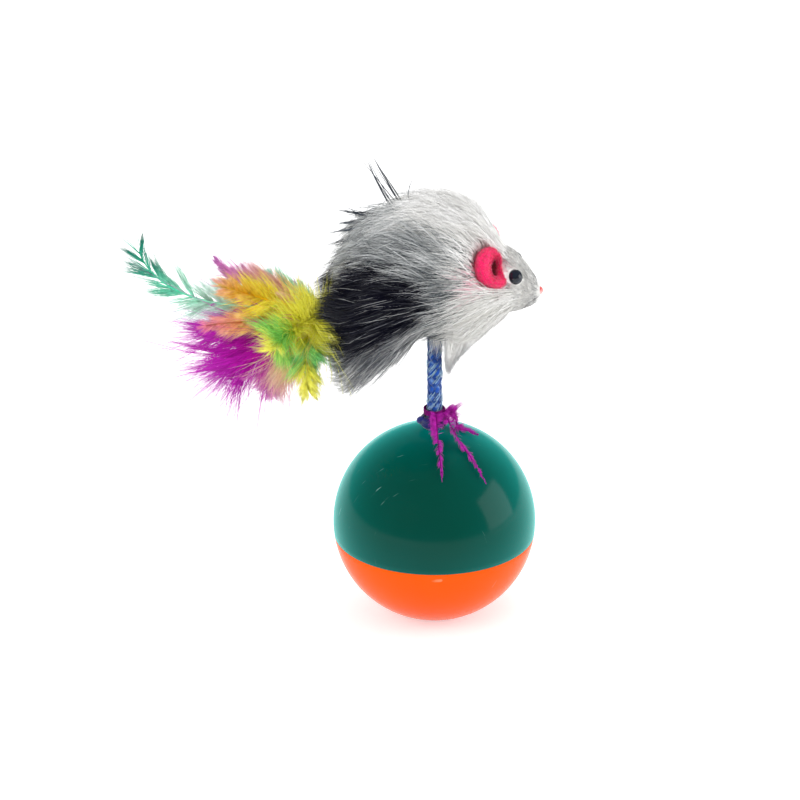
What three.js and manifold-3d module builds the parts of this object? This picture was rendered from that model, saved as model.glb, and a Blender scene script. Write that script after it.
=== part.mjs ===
// Cat tumbler toy: a weighted two-colour ball that rights itself, a sprung stem in a blue woven sleeve,
// and a furry mouse with felt ears and a tail of dyed feathers on top of the stem.
// Millimetres, +Z up. The origin is the centre of the small flat under the ball. +X is the way the mouse
// faces, and -Y is the mouse's right-hand side.

import * as THREE from "three";
import { mergeVertices } from "three/addons/utils/BufferGeometryUtils.js";
import Module from "manifold-3d";

// Gap between pieces that seat on each other.
const clearance = 0.3;

// Ball.
const ballRadius = 25;
const restFlatRadius = 3.5;
const shellWall = 1.8;
const seamDrop = 3.6; // the seam lies this far under the ball's widest line
const tongueHeight = 2; // the lower shell's lip, inside the upper shell's skirt
const ballSides = 36;
const arcStep = 9; // degrees between points of a shell's profile

// Ballast and its screw, in the lower shell.
const ballastTop = 13.5;
const screwRadius = 1.4;
const screwHeadRadius = 3;
const screwHeadHeight = 2.2;
const screwBite = 3.6; // how deep the screw sits in its boss
const screwBossWall = 1.7;
const screwBossTop = 7;
const screwRecessWidth = 0.9;
const screwRecessDepth = 1.2;

// Stem: a coil spring in a woven sleeve, standing in a socket under the top of the ball.
const sleeveRadius = 1.8;
const sleeveWall = 0.4;
const sleeveSides = 12;
const wireRadius = 0.3;
const springPlay = 0.2; // between the spring and its sleeve
const coilPitch = 1.3;
const coilSteps = 8;
const coilEase = 0.35; // each step of the coil's easing at its ends
const wireSides = 5;
const socketDepth = 9.6;
const socketWall = 1.9;
const socketFloor = 1.8;
const stemBaseRise = 12; // top of the stem's first stretch, above the ball's top
const stemMiddleRise = 19;
const stemInMouse = 7.2; // how deep the stem stands in the mouse's core

// Cuff and feather tuft round the foot of the stem.
const cuffHeight = 3.4;
const cuffBulge = 1.1; // the cuff's greatest thickness
const cuffLean = 0.5; // the cuff bulges to the mouse's rear
const bindingHeight = 1.6;
const bindingThickness = 0.8;
const tuftWidth = 5; // the tuft's feathers have their widths in shares of this
const tuftReach = 2.2; // how far a tuft feather runs out from its root before it turns down
const tuftFall = 1.2;

// Mouse. Its own origin is on its spine, over the stem.
const mouseRise = 42.1; // spine above the ball's top
const mouseLength = 50; // places along the mouse and heights of its spine are shares of it
const bodyGirth = 10; // radius of the core at its thickest; radii of the core and the head are shares of it
const coatGirth = 20; // the coat's radii are shares of it
const noseEnd = 0.524 * mouseLength;
const coatFront = 0.348 * mouseLength;
const faceRear = 0.2 * mouseLength;
const coreRear = -0.45 * mouseLength;
const coatRear = -0.55 * mouseLength;
const faceWall = 0.8;
const bodySides = 20;

const eyeRadius = 1.9;
const eyeX = 0.394 * mouseLength;
const eyeLift = 33; // degrees above the side of the head
const eyeStand = 1.3; // how far the bead stands out of the face
const eyePostRadius = 0.5;
const eyePostLength = 3;
const noseRadius = 1.25;
const noseStand = 0.5;

const earWidth = 6.8;
const earHeight = 10;
const earDepth = 4.4;
const earFelt = 1.1;
const earX = 0.252 * mouseLength;
const earLift = 38; // degrees above the side of the head
const earTurn = 32; // degrees that the mouth is turned forwards
const earSides = 20;

// Tail: feathers held in a bound ferrule that pivots on the rump.
const ferruleRadius = 2.9;
const ferruleLength = 3.6;
const ferruleWall = 0.5;
const tailHoleFlare = 1.6; // how much wider the coat's hole is at its mouth
const quillRadius = 0.28;
const quillRise = 0.7; // how far the quills run straight on past the ferrule
const featherLength = 40; // the tail's feathers have their lengths and widths in shares of these two
const featherWidth = 10;
const bareQuill = 3; // from the ferrule to the vane
const vaneThickness = 0.8;
const vaneSkew = 0.8; // under 1, a vane is widest before its middle
const vaneFullness = 0.7; // under 1, a vane's ends are blunt
const barbPitch = 4.2; // between a vane's teeth
const notchDepth = 0.38; // a share of the vane's half width
const tipRadius = 0.1;

// How far a cutting tool runs past the face that it opens.
const past = 1;

const wasm = await Module();
wasm.setup();

const degrees = THREE.MathUtils.degToRad;
const vector = (x, y, z) => new THREE.Vector3(x, y, z);

const ballCentre = Math.sqrt(ballRadius ** 2 - restFlatRadius ** 2);
const ballTop = ballCentre + ballRadius;
const seamHeight = ballCentre - seamDrop;
const innerRadius = ballRadius - shellWall;
const skirtWall = (shellWall - clearance) / 2; // the upper shell's lip, outside the tongue
const coilRadius = sleeveRadius - sleeveWall - springPlay - wireRadius;
const stemBore = sleeveRadius + clearance;
const socketBottom = ballTop - socketDepth;
const mouseHeight = ballTop + mouseRise;
// The circle that the quills stand on.
const quillRing = ferruleRadius - ferruleWall - clearance - quillRadius;

// A smooth curve through stations, as a function of x. Each station is a share of a length along x and a share
// of the size that the curve gives.
function through(length, size, shares) {
  const stations = shares.map(([x, value]) => [x * length, value * size]);
  const slope = (i) => {
    const a = stations[Math.max(i - 1, 0)];
    const b = stations[Math.min(i + 1, stations.length - 1)];
    return (b[1] - a[1]) / (b[0] - a[0]);
  };
  return (x) => {
    const last = stations.length - 2;
    let i = 0;
    while (i < last && x > stations[i + 1][0]) i += 1;
    const [x0, v0] = stations[i];
    const [x1, v1] = stations[i + 1];
    const span = x1 - x0;
    const t = THREE.MathUtils.clamp((x - x0) / span, 0, 1);
    const u = 1 - t;
    return (
      v0 * u * u * (1 + 2 * t) +
      v1 * t * t * (1 + 2 * u) +
      span * t * u * (slope(i) * u - slope(i + 1) * t)
    );
  };
}

// The mouse's spine and the radii of its core, head and coat about it, from rump to nose.
const spineHeight = through(mouseLength, mouseLength, [
  [-0.52, -0.248],
  [-0.43, -0.22],
  [-0.34, -0.152],
  [-0.22, -0.076],
  [-0.08, -0.02],
  [0.08, 0],
  [0.2, -0.012],
  [0.34, -0.04],
  [0.44, -0.062],
  [noseEnd / mouseLength, -0.096],
]);
const coreRadius = through(mouseLength, bodyGirth, [
  [coreRear / mouseLength, 0.16],
  [-0.41, 0.4],
  [-0.34, 0.69],
  [-0.22, 0.93],
  [-0.08, 1],
  [0.08, 0.96],
  [faceRear / mouseLength, 0.82],
]);
const headRadius = through(mouseLength, bodyGirth, [
  [faceRear / mouseLength, 0.93],
  [0.28, 0.87],
  [0.34, 0.8],
  [0.394, 0.73],
  [0.444, 0.62],
  [0.484, 0.46],
  [0.51, 0.27],
  [noseEnd / mouseLength, 0.09],
]);
const coatHeight = through(mouseLength, mouseLength, [
  [coatRear / mouseLength, -0.244],
  [-0.48, -0.236],
  [-0.41, -0.2],
  [-0.33, -0.132],
  [-0.22, -0.064],
  [-0.08, -0.006],
  [0.08, 0.012],
  [0.23, 0.008],
  [coatFront / mouseLength, -0.036],
]);
const coatRadius = through(mouseLength, coatGirth, [
  [coatRear / mouseLength, 0.28],
  [-0.524, 0.44],
  [-0.48, 0.59],
  [-0.41, 0.77],
  [-0.33, 0.9],
  [-0.22, 0.97],
  [-0.08, 0.965],
  [0.08, 0.925],
  [0.23, 0.76],
  [0.3, 0.58],
  [coatFront / mouseLength, 0.44],
]);

// The tail's pivot.
const tailX = coreRear - clearance - ferruleRadius;
const tailHeight = spineHeight(coreRear);

// Solids.

function solidOf(geometry) {
  const bare = geometry.clone();
  bare.deleteAttribute("normal");
  bare.deleteAttribute("uv");
  const merged = mergeVertices(bare, 1e-4);
  return new wasm.Manifold(
    new wasm.Mesh({
      numProp: 3,
      vertProperties: merged.attributes.position.array,
      triVerts: new Uint32Array(merged.index.array),
    }),
  );
}

function geometryOf(solid) {
  const mesh = solid.getMesh();
  const geometry = new THREE.BufferGeometry();
  geometry.setAttribute("position", new THREE.BufferAttribute(mesh.vertProperties, 3));
  geometry.setIndex(new THREE.BufferAttribute(mesh.triVerts, 1));
  geometry.computeVertexNormals();
  return geometry;
}

function cut(geometry, ...tools) {
  return geometryOf(tools.reduce((rest, tool) => rest.subtract(solidOf(tool)), solidOf(geometry)));
}

function join(geometry, ...others) {
  return geometryOf(others.reduce((all, other) => all.add(solidOf(other)), solidOf(geometry)));
}

// Turns a profile of [radius, height] points about Z.
function turned(profile, sides) {
  const points = profile.map(([r, z]) => new THREE.Vector2(r, z));
  return new THREE.LatheGeometry(points, sides).rotateX(Math.PI / 2);
}

// Points of a sphere's profile between two polar angles from straight down, in degrees.
function sphereArc(radius, centre, from, to) {
  const steps = Math.max(1, Math.round(Math.abs(to - from) / arcStep));
  return Array.from({ length: steps + 1 }, (_, i) => {
    const angle = degrees(from + ((to - from) * i) / steps);
    return [radius * Math.sin(angle), centre - radius * Math.cos(angle)];
  });
}

// Polar angles, from straight down, of the point of a sphere at a height above its centre or a radius.
const angleAtHeight = (radius, height) => THREE.MathUtils.radToDeg(Math.acos(-height / radius));
const angleAtRadius = (radius, across) => THREE.MathUtils.radToDeg(Math.asin(across / radius));

// A cylinder from one point to another.
function rod(radius, from, to, sides = 12) {
  const along = to.clone().sub(from);
  const turn = new THREE.Quaternion().setFromUnitVectors(
    vector(0, 1, 0),
    along.clone().normalize(),
  );
  return new THREE.CylinderGeometry(radius, radius, along.length(), sides)
    .applyQuaternion(turn)
    .translate(...from.clone().add(to).divideScalar(2).toArray());
}

// A closed body through rings of points, with a fan over each end.
function ringBody(rings) {
  const count = rings[0].length;
  const middle = (loop) =>
    loop.reduce((sum, point) => sum.add(point), vector(0, 0, 0)).divideScalar(count);
  const points = [...rings.flat(), middle(rings[0]), middle(rings.at(-1))];
  const first = points.length - 2;
  const last = points.length - 1;
  const end = (rings.length - 1) * count;
  const index = [];
  for (let i = 0; i < count; i += 1) {
    const next = (i + 1) % count;
    index.push(first, next, i, last, end + i, end + next);
    for (let row = 0; row < end; row += count) {
      index.push(row + i, row + next, row + count + next);
      index.push(row + i, row + count + next, row + count + i);
    }
  }
  const geometry = new THREE.BufferGeometry().setFromPoints(points);
  geometry.setIndex(index);
  geometry.computeVertexNormals();
  return geometry;
}

// A circle of points about a centre, in the plane of two directions.
function ring(centre, a, b, radius, sides) {
  return Array.from({ length: sides }, (_, i) => {
    const angle = (2 * Math.PI * i) / sides;
    return centre
      .clone()
      .addScaledVector(a, radius * Math.cos(angle))
      .addScaledVector(b, radius * Math.sin(angle));
  });
}

// A body along the mouse, with a radius and a middle height for each x. Rings crowd towards its ends.
function skin(from, to, steps, radiusAt, heightAt = spineHeight) {
  return ringBody(
    Array.from({ length: steps + 1 }, (_, i) => {
      const x = from + ((to - from) * (1 - Math.cos((Math.PI * i) / steps))) / 2;
      const centre = vector(x, 0, heightAt(x));
      return ring(centre, vector(0, 1, 0), vector(0, 0, 1), radiusAt(x), bodySides);
    }),
  );
}

// Ball.

function lowerShell() {
  const seamRadius = Math.sqrt(ballRadius ** 2 - seamDrop ** 2);
  const tongueOuter = seamRadius - skirtWall - clearance;
  const tongueInner = Math.sqrt(innerRadius ** 2 - seamDrop ** 2);
  const bossRadius = screwRadius + clearance + screwBossWall;
  const holeFloor = screwBossTop - screwBite - clearance;
  const outer = sphereArc(
    ballRadius,
    ballCentre,
    angleAtRadius(ballRadius, restFlatRadius),
    angleAtHeight(ballRadius, -seamDrop),
  );
  const inner = sphereArc(
    innerRadius,
    ballCentre,
    angleAtHeight(innerRadius, -seamDrop),
    angleAtRadius(innerRadius, bossRadius),
  );
  return turned(
    [
      [0, 0],
      ...outer,
      [tongueOuter, seamHeight],
      [tongueOuter, seamHeight + tongueHeight],
      [tongueInner, seamHeight + tongueHeight],
      ...inner,
      [bossRadius, screwBossTop],
      [screwRadius + clearance, screwBossTop],
      [screwRadius + clearance, holeFloor],
      [0, holeFloor],
    ],
    ballSides,
  );
}

function upperShell() {
  const seamRadius = Math.sqrt(ballRadius ** 2 - seamDrop ** 2);
  const skirtInner = seamRadius - skirtWall;
  const rebateTop = seamHeight + tongueHeight + clearance;
  const socketRadius = stemBore + socketWall;
  const outer = sphereArc(
    ballRadius,
    ballCentre,
    angleAtHeight(ballRadius, -seamDrop),
    180 - angleAtRadius(ballRadius, stemBore),
  );
  const inner = sphereArc(
    innerRadius,
    ballCentre,
    180 - angleAtRadius(innerRadius, socketRadius),
    angleAtHeight(innerRadius, rebateTop - ballCentre),
  );
  return turned(
    [
      [0, socketBottom - socketFloor],
      [socketRadius, socketBottom - socketFloor],
      ...inner,
      [skirtInner, rebateTop],
      [skirtInner, seamHeight],
      ...outer,
      [stemBore, socketBottom],
      [0, socketBottom],
    ],
    ballSides,
  );
}

function ballastWeight() {
  const radius = innerRadius - clearance;
  const bossHole = screwRadius + 2 * clearance + screwBossWall;
  const screwHole = screwRadius + clearance;
  const bossHoleTop = screwBossTop + clearance;
  const underside = sphereArc(
    radius,
    ballCentre,
    angleAtRadius(radius, bossHole),
    angleAtHeight(radius, ballastTop - ballCentre),
  );
  return turned(
    [
      ...underside,
      [screwHole, ballastTop],
      [screwHole, bossHoleTop],
      [bossHole, bossHoleTop],
      underside[0],
    ],
    ballSides,
  );
}

function ballastScrew() {
  const seat = ballastTop + clearance;
  const top = seat + screwHeadHeight;
  const tip = screwBossTop - screwBite;
  const body = turned(
    [
      [0, tip],
      [screwRadius, tip + screwRadius],
      [screwRadius, seat],
      [screwHeadRadius, seat],
      [screwHeadRadius, top - screwHeadHeight / 2],
      [screwHeadRadius / 2, top],
      [0, top],
    ],
    16,
  );
  const recess = [0, 1].map((turn) =>
    new THREE.BoxGeometry(screwHeadRadius, screwRecessWidth, 2 * screwRecessDepth)
      .rotateZ((turn * Math.PI) / 2)
      .translate(0, 0, top),
  );
  return cut(body, ...recess);
}

// Stem.

function sleeve(from, to) {
  const inner = sleeveRadius - sleeveWall;
  return turned(
    [
      [inner, from],
      [sleeveRadius, from],
      [sleeveRadius, to],
      [inner, to],
      [inner, from],
    ],
    sleeveSides,
  );
}

// The line of a coil on its cylinder. It leaves each end upright for one wire diameter, then eases into the
// coil's climb.
function coilLine(from, to) {
  const climb = Math.atan(coilPitch / (2 * Math.PI * coilRadius));
  const step = (2 * Math.PI * coilRadius) / coilSteps / Math.cos(climb);
  const easeSteps = 5;
  const eases = Array.from(
    { length: easeSteps },
    (_, i) => Math.PI / 2 + ((climb - Math.PI / 2) * (i + 0.5)) / easeSteps,
  );
  const easeRise = eases.reduce((sum, a) => sum + coilEase * Math.sin(a), 0);
  const turnsRise = to - from - 2 * (2 * wireRadius + easeRise);
  const count = Math.round(turnsRise / (step * Math.sin(climb)));
  const legs = [
    [2 * wireRadius, Math.PI / 2],
    ...eases.map((a) => [coilEase, a]),
    ...Array.from({ length: count }, () => [turnsRise / count / Math.sin(climb), climb]),
    ...eases.toReversed().map((a) => [coilEase, a]),
    [2 * wireRadius, Math.PI / 2],
  ];
  let angle = 0;
  let height = from;
  const line = [{ angle, height, slope: Math.PI / 2 }];
  for (const [length, slope] of legs) {
    angle += (length * Math.cos(slope)) / coilRadius;
    height += length * Math.sin(slope);
    line.push({ angle, height, slope });
  }
  return line;
}

function coilPoint({ angle, height }) {
  return vector(coilRadius * Math.cos(angle), coilRadius * Math.sin(angle), height);
}

function spring(from, to) {
  const line = coilLine(from, to);
  return ringBody(
    line.map((here, i) => {
      const next = line[Math.min(i + 1, line.length - 1)];
      const slope = (here.slope + next.slope) / 2;
      const out = vector(Math.cos(here.angle), Math.sin(here.angle), 0);
      const level = vector(-Math.sin(here.angle), Math.cos(here.angle), 0);
      const along = level.multiplyScalar(Math.cos(slope)).add(vector(0, 0, Math.sin(slope)));
      return ring(coilPoint(here), out, along.cross(out), wireRadius, wireSides);
    }),
  );
}

// The least gap between a coil's turns, measured between its points at least half a turn apart.
function leastGap(line) {
  let least = Infinity;
  line.forEach((a, i) => {
    for (const b of line.slice(i + 1)) {
      if (b.angle - a.angle > Math.PI) {
        least = Math.min(least, coilPoint(a).distanceTo(coilPoint(b)) - 2 * wireRadius);
      }
    }
  });
  return least;
}

// A ball of wound yarn that leans to the mouse's rear.
function cuff() {
  const foot = ballTop + clearance;
  const radius = stemBore + cuffBulge;
  const hole = rod(stemBore, vector(0, 0, foot - past), vector(0, 0, foot + cuffHeight + past), 16);
  const lobe = (lean) =>
    new THREE.SphereGeometry(radius, 16, 10)
      .scale(1, 1, cuffHeight / 2 / radius)
      .translate(-lean, 0, foot + cuffHeight / 2);
  return cut(join(lobe(0), lobe(cuffLean)), hole);
}

function tuftBinding() {
  const foot = ballTop + cuffHeight + 2 * clearance;
  const middle = stemBore + bindingThickness / 2;
  const sides = 10;
  const rim = Array.from({ length: sides + 1 }, (_, i) => {
    const angle = (2 * Math.PI * (i % sides)) / sides;
    return [
      middle + (bindingThickness / 2) * Math.cos(angle),
      foot + (bindingHeight / 2) * (1 + Math.sin(angle)),
    ];
  });
  return turned(rim, 16);
}

// Feathers.

// A line that runs straight in its seat, leaves it at one angle from the tail's axis and bends evenly to
// another.
class FeatherLine extends THREE.Curve {
  constructor({ root, along, out, seat, from, to, length }) {
    super();
    Object.assign(this, { root, along, out, seat, length });
    this.from = degrees(from);
    this.bend = degrees(to - from) / (length - seat);
  }

  getPoint(t, target = vector(0, 0, 0)) {
    const run = t * this.length;
    const angle = this.from + this.bend * Math.max(0, run - this.seat);
    return target
      .copy(this.root)
      .addScaledVector(this.along, Math.min(run, this.seat))
      .addScaledVector(this.along, (Math.sin(angle) - Math.sin(this.from)) / this.bend)
      .addScaledVector(this.out, (Math.cos(this.from) - Math.cos(angle)) / this.bend);
  }
}

// A feather along a line: a bare quill, then a thin vane with saw-toothed edges, widest before its middle.
function feather(line, across, { width, barbs, bare, seat = 0 }) {
  const rings = [];
  const row = (t, half, thick, sweep) => {
    const centre = line.getPoint(t);
    const along = line.getTangent(t);
    const side = across.clone().addScaledVector(along, -across.dot(along)).normalize();
    const face = along.clone().cross(side);
    const edge = (sign) =>
      centre.clone().addScaledVector(side, sign * half).addScaledVector(along, sweep);
    rings.push([
      edge(1),
      centre.clone().addScaledVector(face, thick),
      edge(-1),
      centre.clone().addScaledVector(face, -thick),
    ]);
  };
  const steps = 2 * barbs;
  const toothSweep = barbPitch / 3;
  row(0, quillRadius, quillRadius, 0);
  if (seat > 0) row(seat / line.getLength(), quillRadius, quillRadius, 0);
  row(bare, quillRadius, quillRadius, 0);
  for (let i = 1; i < steps; i += 1) {
    const share = i / steps;
    const half = (width / 2) * Math.sin(Math.PI * share ** vaneSkew) ** vaneFullness;
    const thick = quillRadius + (vaneThickness / 2 - quillRadius) * Math.sin(Math.PI * share);
    const tooth = i % 2 === 1;
    row(bare + (1 - bare) * share, tooth ? half : half * (1 - notchDepth), thick, tooth ? toothSweep : 0);
  }
  row(1, tipRadius, tipRadius, 0);
  return ringBody(rings);
}

// The tail's feathers, in order round the tail's axis. turn is the way round it: 0 is up, 90 the mouse's
// right, 180 down. from and to are the angles off the axis at root and tip, length and width are shares of
// featherLength and featherWidth, and flat is how far the vane is turned about its own quill.
const tailFeathers = [
  { name: "green_long", turn: 4, from: -10, to: 58, length: 1.45, width: 0.9, flat: 90, colour: 0x16a060 },
  { name: "yellow_high", turn: 34, from: 30, to: 42, length: 0.825, width: 1.1, flat: -10, colour: 0xf0b800 },
  { name: "orange_middle", turn: 98, from: 10, to: 20, length: 0.925, width: 1.3, flat: 10, colour: 0xf5a216 },
  { name: "lime_near", turn: 122, from: 34, to: 54, length: 0.75, width: 1.2, flat: -8, colour: 0x9fd420 },
  { name: "yellow_near", turn: 152, from: 62, to: 84, length: 0.75, width: 0.8, flat: -10, colour: 0xe8dc2a },
  { name: "peach_low", turn: 182, from: 52, to: 62, length: 0.85, width: 1, flat: 0, colour: 0xf0a070 },
  { name: "magenta_low", turn: 192, from: 30, to: 38, length: 1.05, width: 1.2, flat: 0, colour: 0x9a0f8c },
  { name: "magenta_long", turn: 196, from: 7, to: 14, length: 1.15, width: 1.3, flat: 0, colour: 0xb0109a },
  { name: "magenta_far", turn: 248, from: 34, to: 38, length: 0.95, width: 1, flat: 0, colour: 0xa0128f },
  { name: "green_small", turn: 302, from: 42, to: 52, length: 0.725, width: 0.9, flat: 0, colour: 0x2fb37a },
  { name: "lilac_high", turn: 328, from: 20, to: 38, length: 0.95, width: 1.1, flat: 30, colour: 0xa94fa6 },
];

function tailFeather({ turn, from, to, flat, ...shares }, index) {
  const length = shares.length * featherLength;
  const width = shares.width * featherWidth;
  const out = vector(0, -Math.sin(degrees(turn)), Math.cos(degrees(turn)));
  const along = vector(-1, 0, 0);
  const seatAngle = (2 * Math.PI * index) / tailFeathers.length;
  const root = vector(
    -ferruleWall - clearance,
    -quillRing * Math.sin(seatAngle),
    quillRing * Math.cos(seatAngle),
  );
  const seat = ferruleLength + quillRise + root.x;
  const line = new FeatherLine({ root, along, out, seat, from, to, length });
  const across = out.clone().cross(along).applyAxisAngle(along, degrees(flat));
  const bare = (seat + bareQuill) / length;
  const barbs = Math.round((length - seat - bareQuill) / barbPitch);
  return feather(line, across, { width, barbs, bare, seat });
}

// The tuft's feathers lie down the ball from the binding. turn is the way round the stem from +X.
const tuftFeathers = [
  { name: "base_feather_front", turn: -84, reach: 36, width: 1, barbs: 5 },
  { name: "base_feather_side", turn: -50, reach: 47, width: 0.88, barbs: 6 },
  { name: "base_feather_right", turn: -6, reach: 24, width: 1.08, barbs: 4 },
];

function tuftFeather({ turn, reach, width, barbs }) {
  const out = vector(Math.cos(degrees(turn)), Math.sin(degrees(turn)), 0);
  const lift = vaneThickness / 2 + clearance;
  const rootRadius = sleeveRadius + 2 * clearance + bindingThickness + quillRadius;
  const rootHeight = ballTop + cuffHeight + 2 * clearance + bindingHeight / 2;
  const onBall = (angle) =>
    out
      .clone()
      .multiplyScalar((ballRadius + lift) * Math.sin(degrees(angle)))
      .setZ(ballCentre + (ballRadius + lift) * Math.cos(degrees(angle)));
  const line = new THREE.CatmullRomCurve3([
    out.clone().multiplyScalar(rootRadius).setZ(rootHeight),
    out.clone().multiplyScalar(rootRadius + tuftReach).setZ(rootHeight - tuftFall),
    ...[0.55, 0.78, 1].map((share) => onBall(reach * share)),
  ]);
  const across = out.clone().cross(vector(0, 0, 1));
  return feather(line, across, { width: width * tuftWidth, barbs, bare: 0.12 });
}

// Mouse.

// The head's outside, grown by the fit of what lies on it.
function headRoom() {
  return skin(faceRear - clearance, noseEnd, 10, (x) => headRadius(x) + clearance);
}

function stemBoreInMouse() {
  const top = stemSocketTop();
  return rod(stemBore, vector(0, 0, -mouseRise), vector(0, 0, top), 16);
}

// Top of the stem's bore, above the mouse's spine.
function stemSocketTop() {
  return spineHeight(0) - coreRadius(0) + stemInMouse;
}

// The place on the mouse's right (-1) or left (1) side at x, out from the spine, lifted by an angle.
function besideSpine(x, out, lift, side) {
  return vector(
    x,
    side * out * Math.cos(degrees(lift)),
    spineHeight(x) + out * Math.sin(degrees(lift)),
  );
}

function eye(side, gap = 0) {
  const out = headRadius(eyeX) - eyeRadius + eyeStand;
  const centre = besideSpine(eyeX, out, eyeLift, side);
  const foot = besideSpine(eyeX, out - eyeRadius - eyePostLength - gap, eyeLift, side);
  const bead = new THREE.SphereGeometry(eyeRadius + gap, 16, 10).translate(...centre.toArray());
  return join(bead, rod(eyePostRadius + gap, foot, centre, 8));
}

function nose(gap = 0) {
  const x = noseEnd + noseStand - noseRadius;
  return new THREE.SphereGeometry(noseRadius + gap, 14, 10).translate(x, 0, spineHeight(x));
}

// Half of an ellipse's profile, as [radius, height], from the axis at the bottom to the rim.
function bowlArc(radius, depth, lift) {
  const steps = 5;
  return Array.from({ length: steps + 1 }, (_, i) => {
    const angle = (Math.PI / 2) * (i / steps);
    return [radius * Math.sin(angle), lift + depth * (1 - Math.cos(angle))];
  });
}

// Places a shape turned about Z on the side of the head, its mouth out and forwards.
function placeEar(geometry, side) {
  const out = vector(0, side * Math.cos(degrees(earLift)), Math.sin(degrees(earLift)));
  const mouth = out.clone().multiplyScalar(Math.cos(degrees(earTurn)));
  mouth.x += Math.sin(degrees(earTurn));
  const tall = vector(0, -side * Math.sin(degrees(earLift)), Math.cos(degrees(earLift)));
  const wide = tall.clone().cross(mouth).normalize();
  const root = besideSpine(earX, headRadius(earX) + clearance, earLift, side);
  return geometry
    .scale(earWidth / earHeight, 1, 1)
    .applyMatrix4(new THREE.Matrix4().makeBasis(wide, tall, mouth).setPosition(root));
}

function ear(side) {
  const radius = earHeight / 2;
  const outer = bowlArc(radius, earDepth, 0);
  const inner = bowlArc(radius - earFelt, earDepth - earFelt, earFelt).reverse();
  return cut(placeEar(turned([...outer, ...inner], earSides), side), headRoom());
}

// The room that an ear takes in the coat, with its mouth left open.
function earRoom(side) {
  const radius = earHeight / 2 + clearance;
  const open = earDepth + earHeight;
  const outer = bowlArc(radius, earDepth + clearance, -clearance);
  return placeEar(turned([...outer, [radius, open], [0, open]], earSides), side);
}

function mouseCore() {
  const front = noseEnd - faceWall - clearance;
  const body = skin(coreRear, front, 18, (x) =>
    x < faceRear ? coreRadius(x) : headRadius(x) - faceWall - clearance,
  );
  return cut(body, stemBoreInMouse(), eye(-1, clearance), eye(1, clearance), nose(clearance));
}

function faceCover() {
  const outside = skin(faceRear, noseEnd, 10, headRadius);
  const inside = skin(faceRear - past, noseEnd - faceWall, 10, (x) => headRadius(x) - faceWall);
  return cut(outside, inside, eye(-1, clearance), eye(1, clearance), nose(clearance));
}

// The deep pile lies on the core and the head. Its rear opens out round the tail, so that the tail can swing.
function furCoat() {
  const narrow = ferruleRadius + clearance;
  const mouthLength = tailX - coatRear + past;
  const mouth = new THREE.CylinderGeometry(narrow + tailHoleFlare, narrow, mouthLength, 16)
    .rotateZ(Math.PI / 2)
    .translate(tailX - mouthLength / 2, 0, tailHeight);
  const throat = rod(narrow, vector(tailX - past, 0, tailHeight), vector(coreRear, 0, tailHeight), 16);
  const coreRoom = skin(
    coreRear - clearance,
    faceRear + clearance,
    14,
    (x) => coreRadius(x) + clearance,
  );
  return cut(
    skin(coatRear, coatFront, 18, coatRadius, coatHeight),
    coreRoom,
    headRoom(),
    stemBoreInMouse(),
    mouth,
    throat,
    earRoom(-1),
    earRoom(1),
  );
}

// Tail ferrule: a round nose that pivots against the core's end, and an open cup that holds the quills.
function tailFerrule() {
  const cupRadius = ferruleRadius - ferruleWall;
  const nosePoints = sphereArc(ferruleRadius, 0, 0, 90);
  return turned(
    [
      ...nosePoints,
      [ferruleRadius, ferruleLength],
      [cupRadius, ferruleLength],
      [cupRadius, ferruleWall],
      [0, ferruleWall],
    ],
    16,
  ).rotateY(-Math.PI / 2);
}

// Finishes.

const finish = (color, roughness, metalness = 0) =>
  new THREE.MeshStandardMaterial({ color, roughness, metalness });

const finishes = {
  greenPlastic: finish(0x00766a, 0.2),
  orangePlastic: finish(0xff5a00, 0.2),
  steel: finish(0xb0b4b8, 0.35, 1),
  blueWeave: finish(0x1440a0, 0.8),
  purpleDown: finish(0x8a0a86, 0.9),
  foam: finish(0xe8e2d4, 0.9),
  whiteFur: finish(0xe9e8e4, 0.95),
  greyFur: finish(0x8d9192, 0.95),
  pinkFelt: finish(0xf02070, 0.95),
  blackBead: finish(0x06070c, 0.1),
  noseBead: finish(0xc05a58, 0.4),
  thread: finish(0xd8d2c0, 0.8),
};

function piece(name, geometry, material) {
  const mesh = new THREE.Mesh(geometry, material);
  mesh.name = name;
  return mesh;
}

function ball() {
  return new THREE.Group().add(
    piece("lower_shell", lowerShell(), finishes.orangePlastic),
    piece("upper_shell", upperShell(), finishes.greenPlastic),
    piece("ballast_weight", ballastWeight(), finishes.steel),
    piece("ballast_screw", ballastScrew(), finishes.steel),
  );
}

function stem() {
  const group = new THREE.Group();
  const stretches = {
    base: [socketBottom + clearance, ballTop + stemBaseRise],
    middle: [ballTop + stemBaseRise + clearance, ballTop + stemMiddleRise],
    top: [ballTop + stemMiddleRise + clearance, mouseHeight + stemSocketTop() - clearance],
  };
  for (const [name, [from, to]] of Object.entries(stretches)) {
    group.add(piece(`sleeve_${name}`, sleeve(from, to), finishes.blueWeave));
    group.add(piece(`spring_${name}`, spring(from, to), finishes.steel));
    console.log(`spring_${name}: least gap ${leastGap(coilLine(from, to)).toFixed(2)} mm`);
  }
  group.add(piece("sleeve_cuff", cuff(), finishes.blueWeave));
  group.add(piece("tuft_binding", tuftBinding(), finishes.purpleDown));
  for (const one of tuftFeathers) {
    group.add(piece(one.name, tuftFeather(one), finishes.purpleDown));
  }
  return group;
}

function tail() {
  const group = new THREE.Group();
  group.position.set(tailX, 0, tailHeight);
  group.add(piece("tail_ferrule", tailFerrule(), finishes.thread));
  tailFeathers.forEach((one, index) => {
    group.add(piece(`feather_${one.name}`, tailFeather(one, index), finish(one.colour, 0.9)));
  });
  return group;
}

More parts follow.
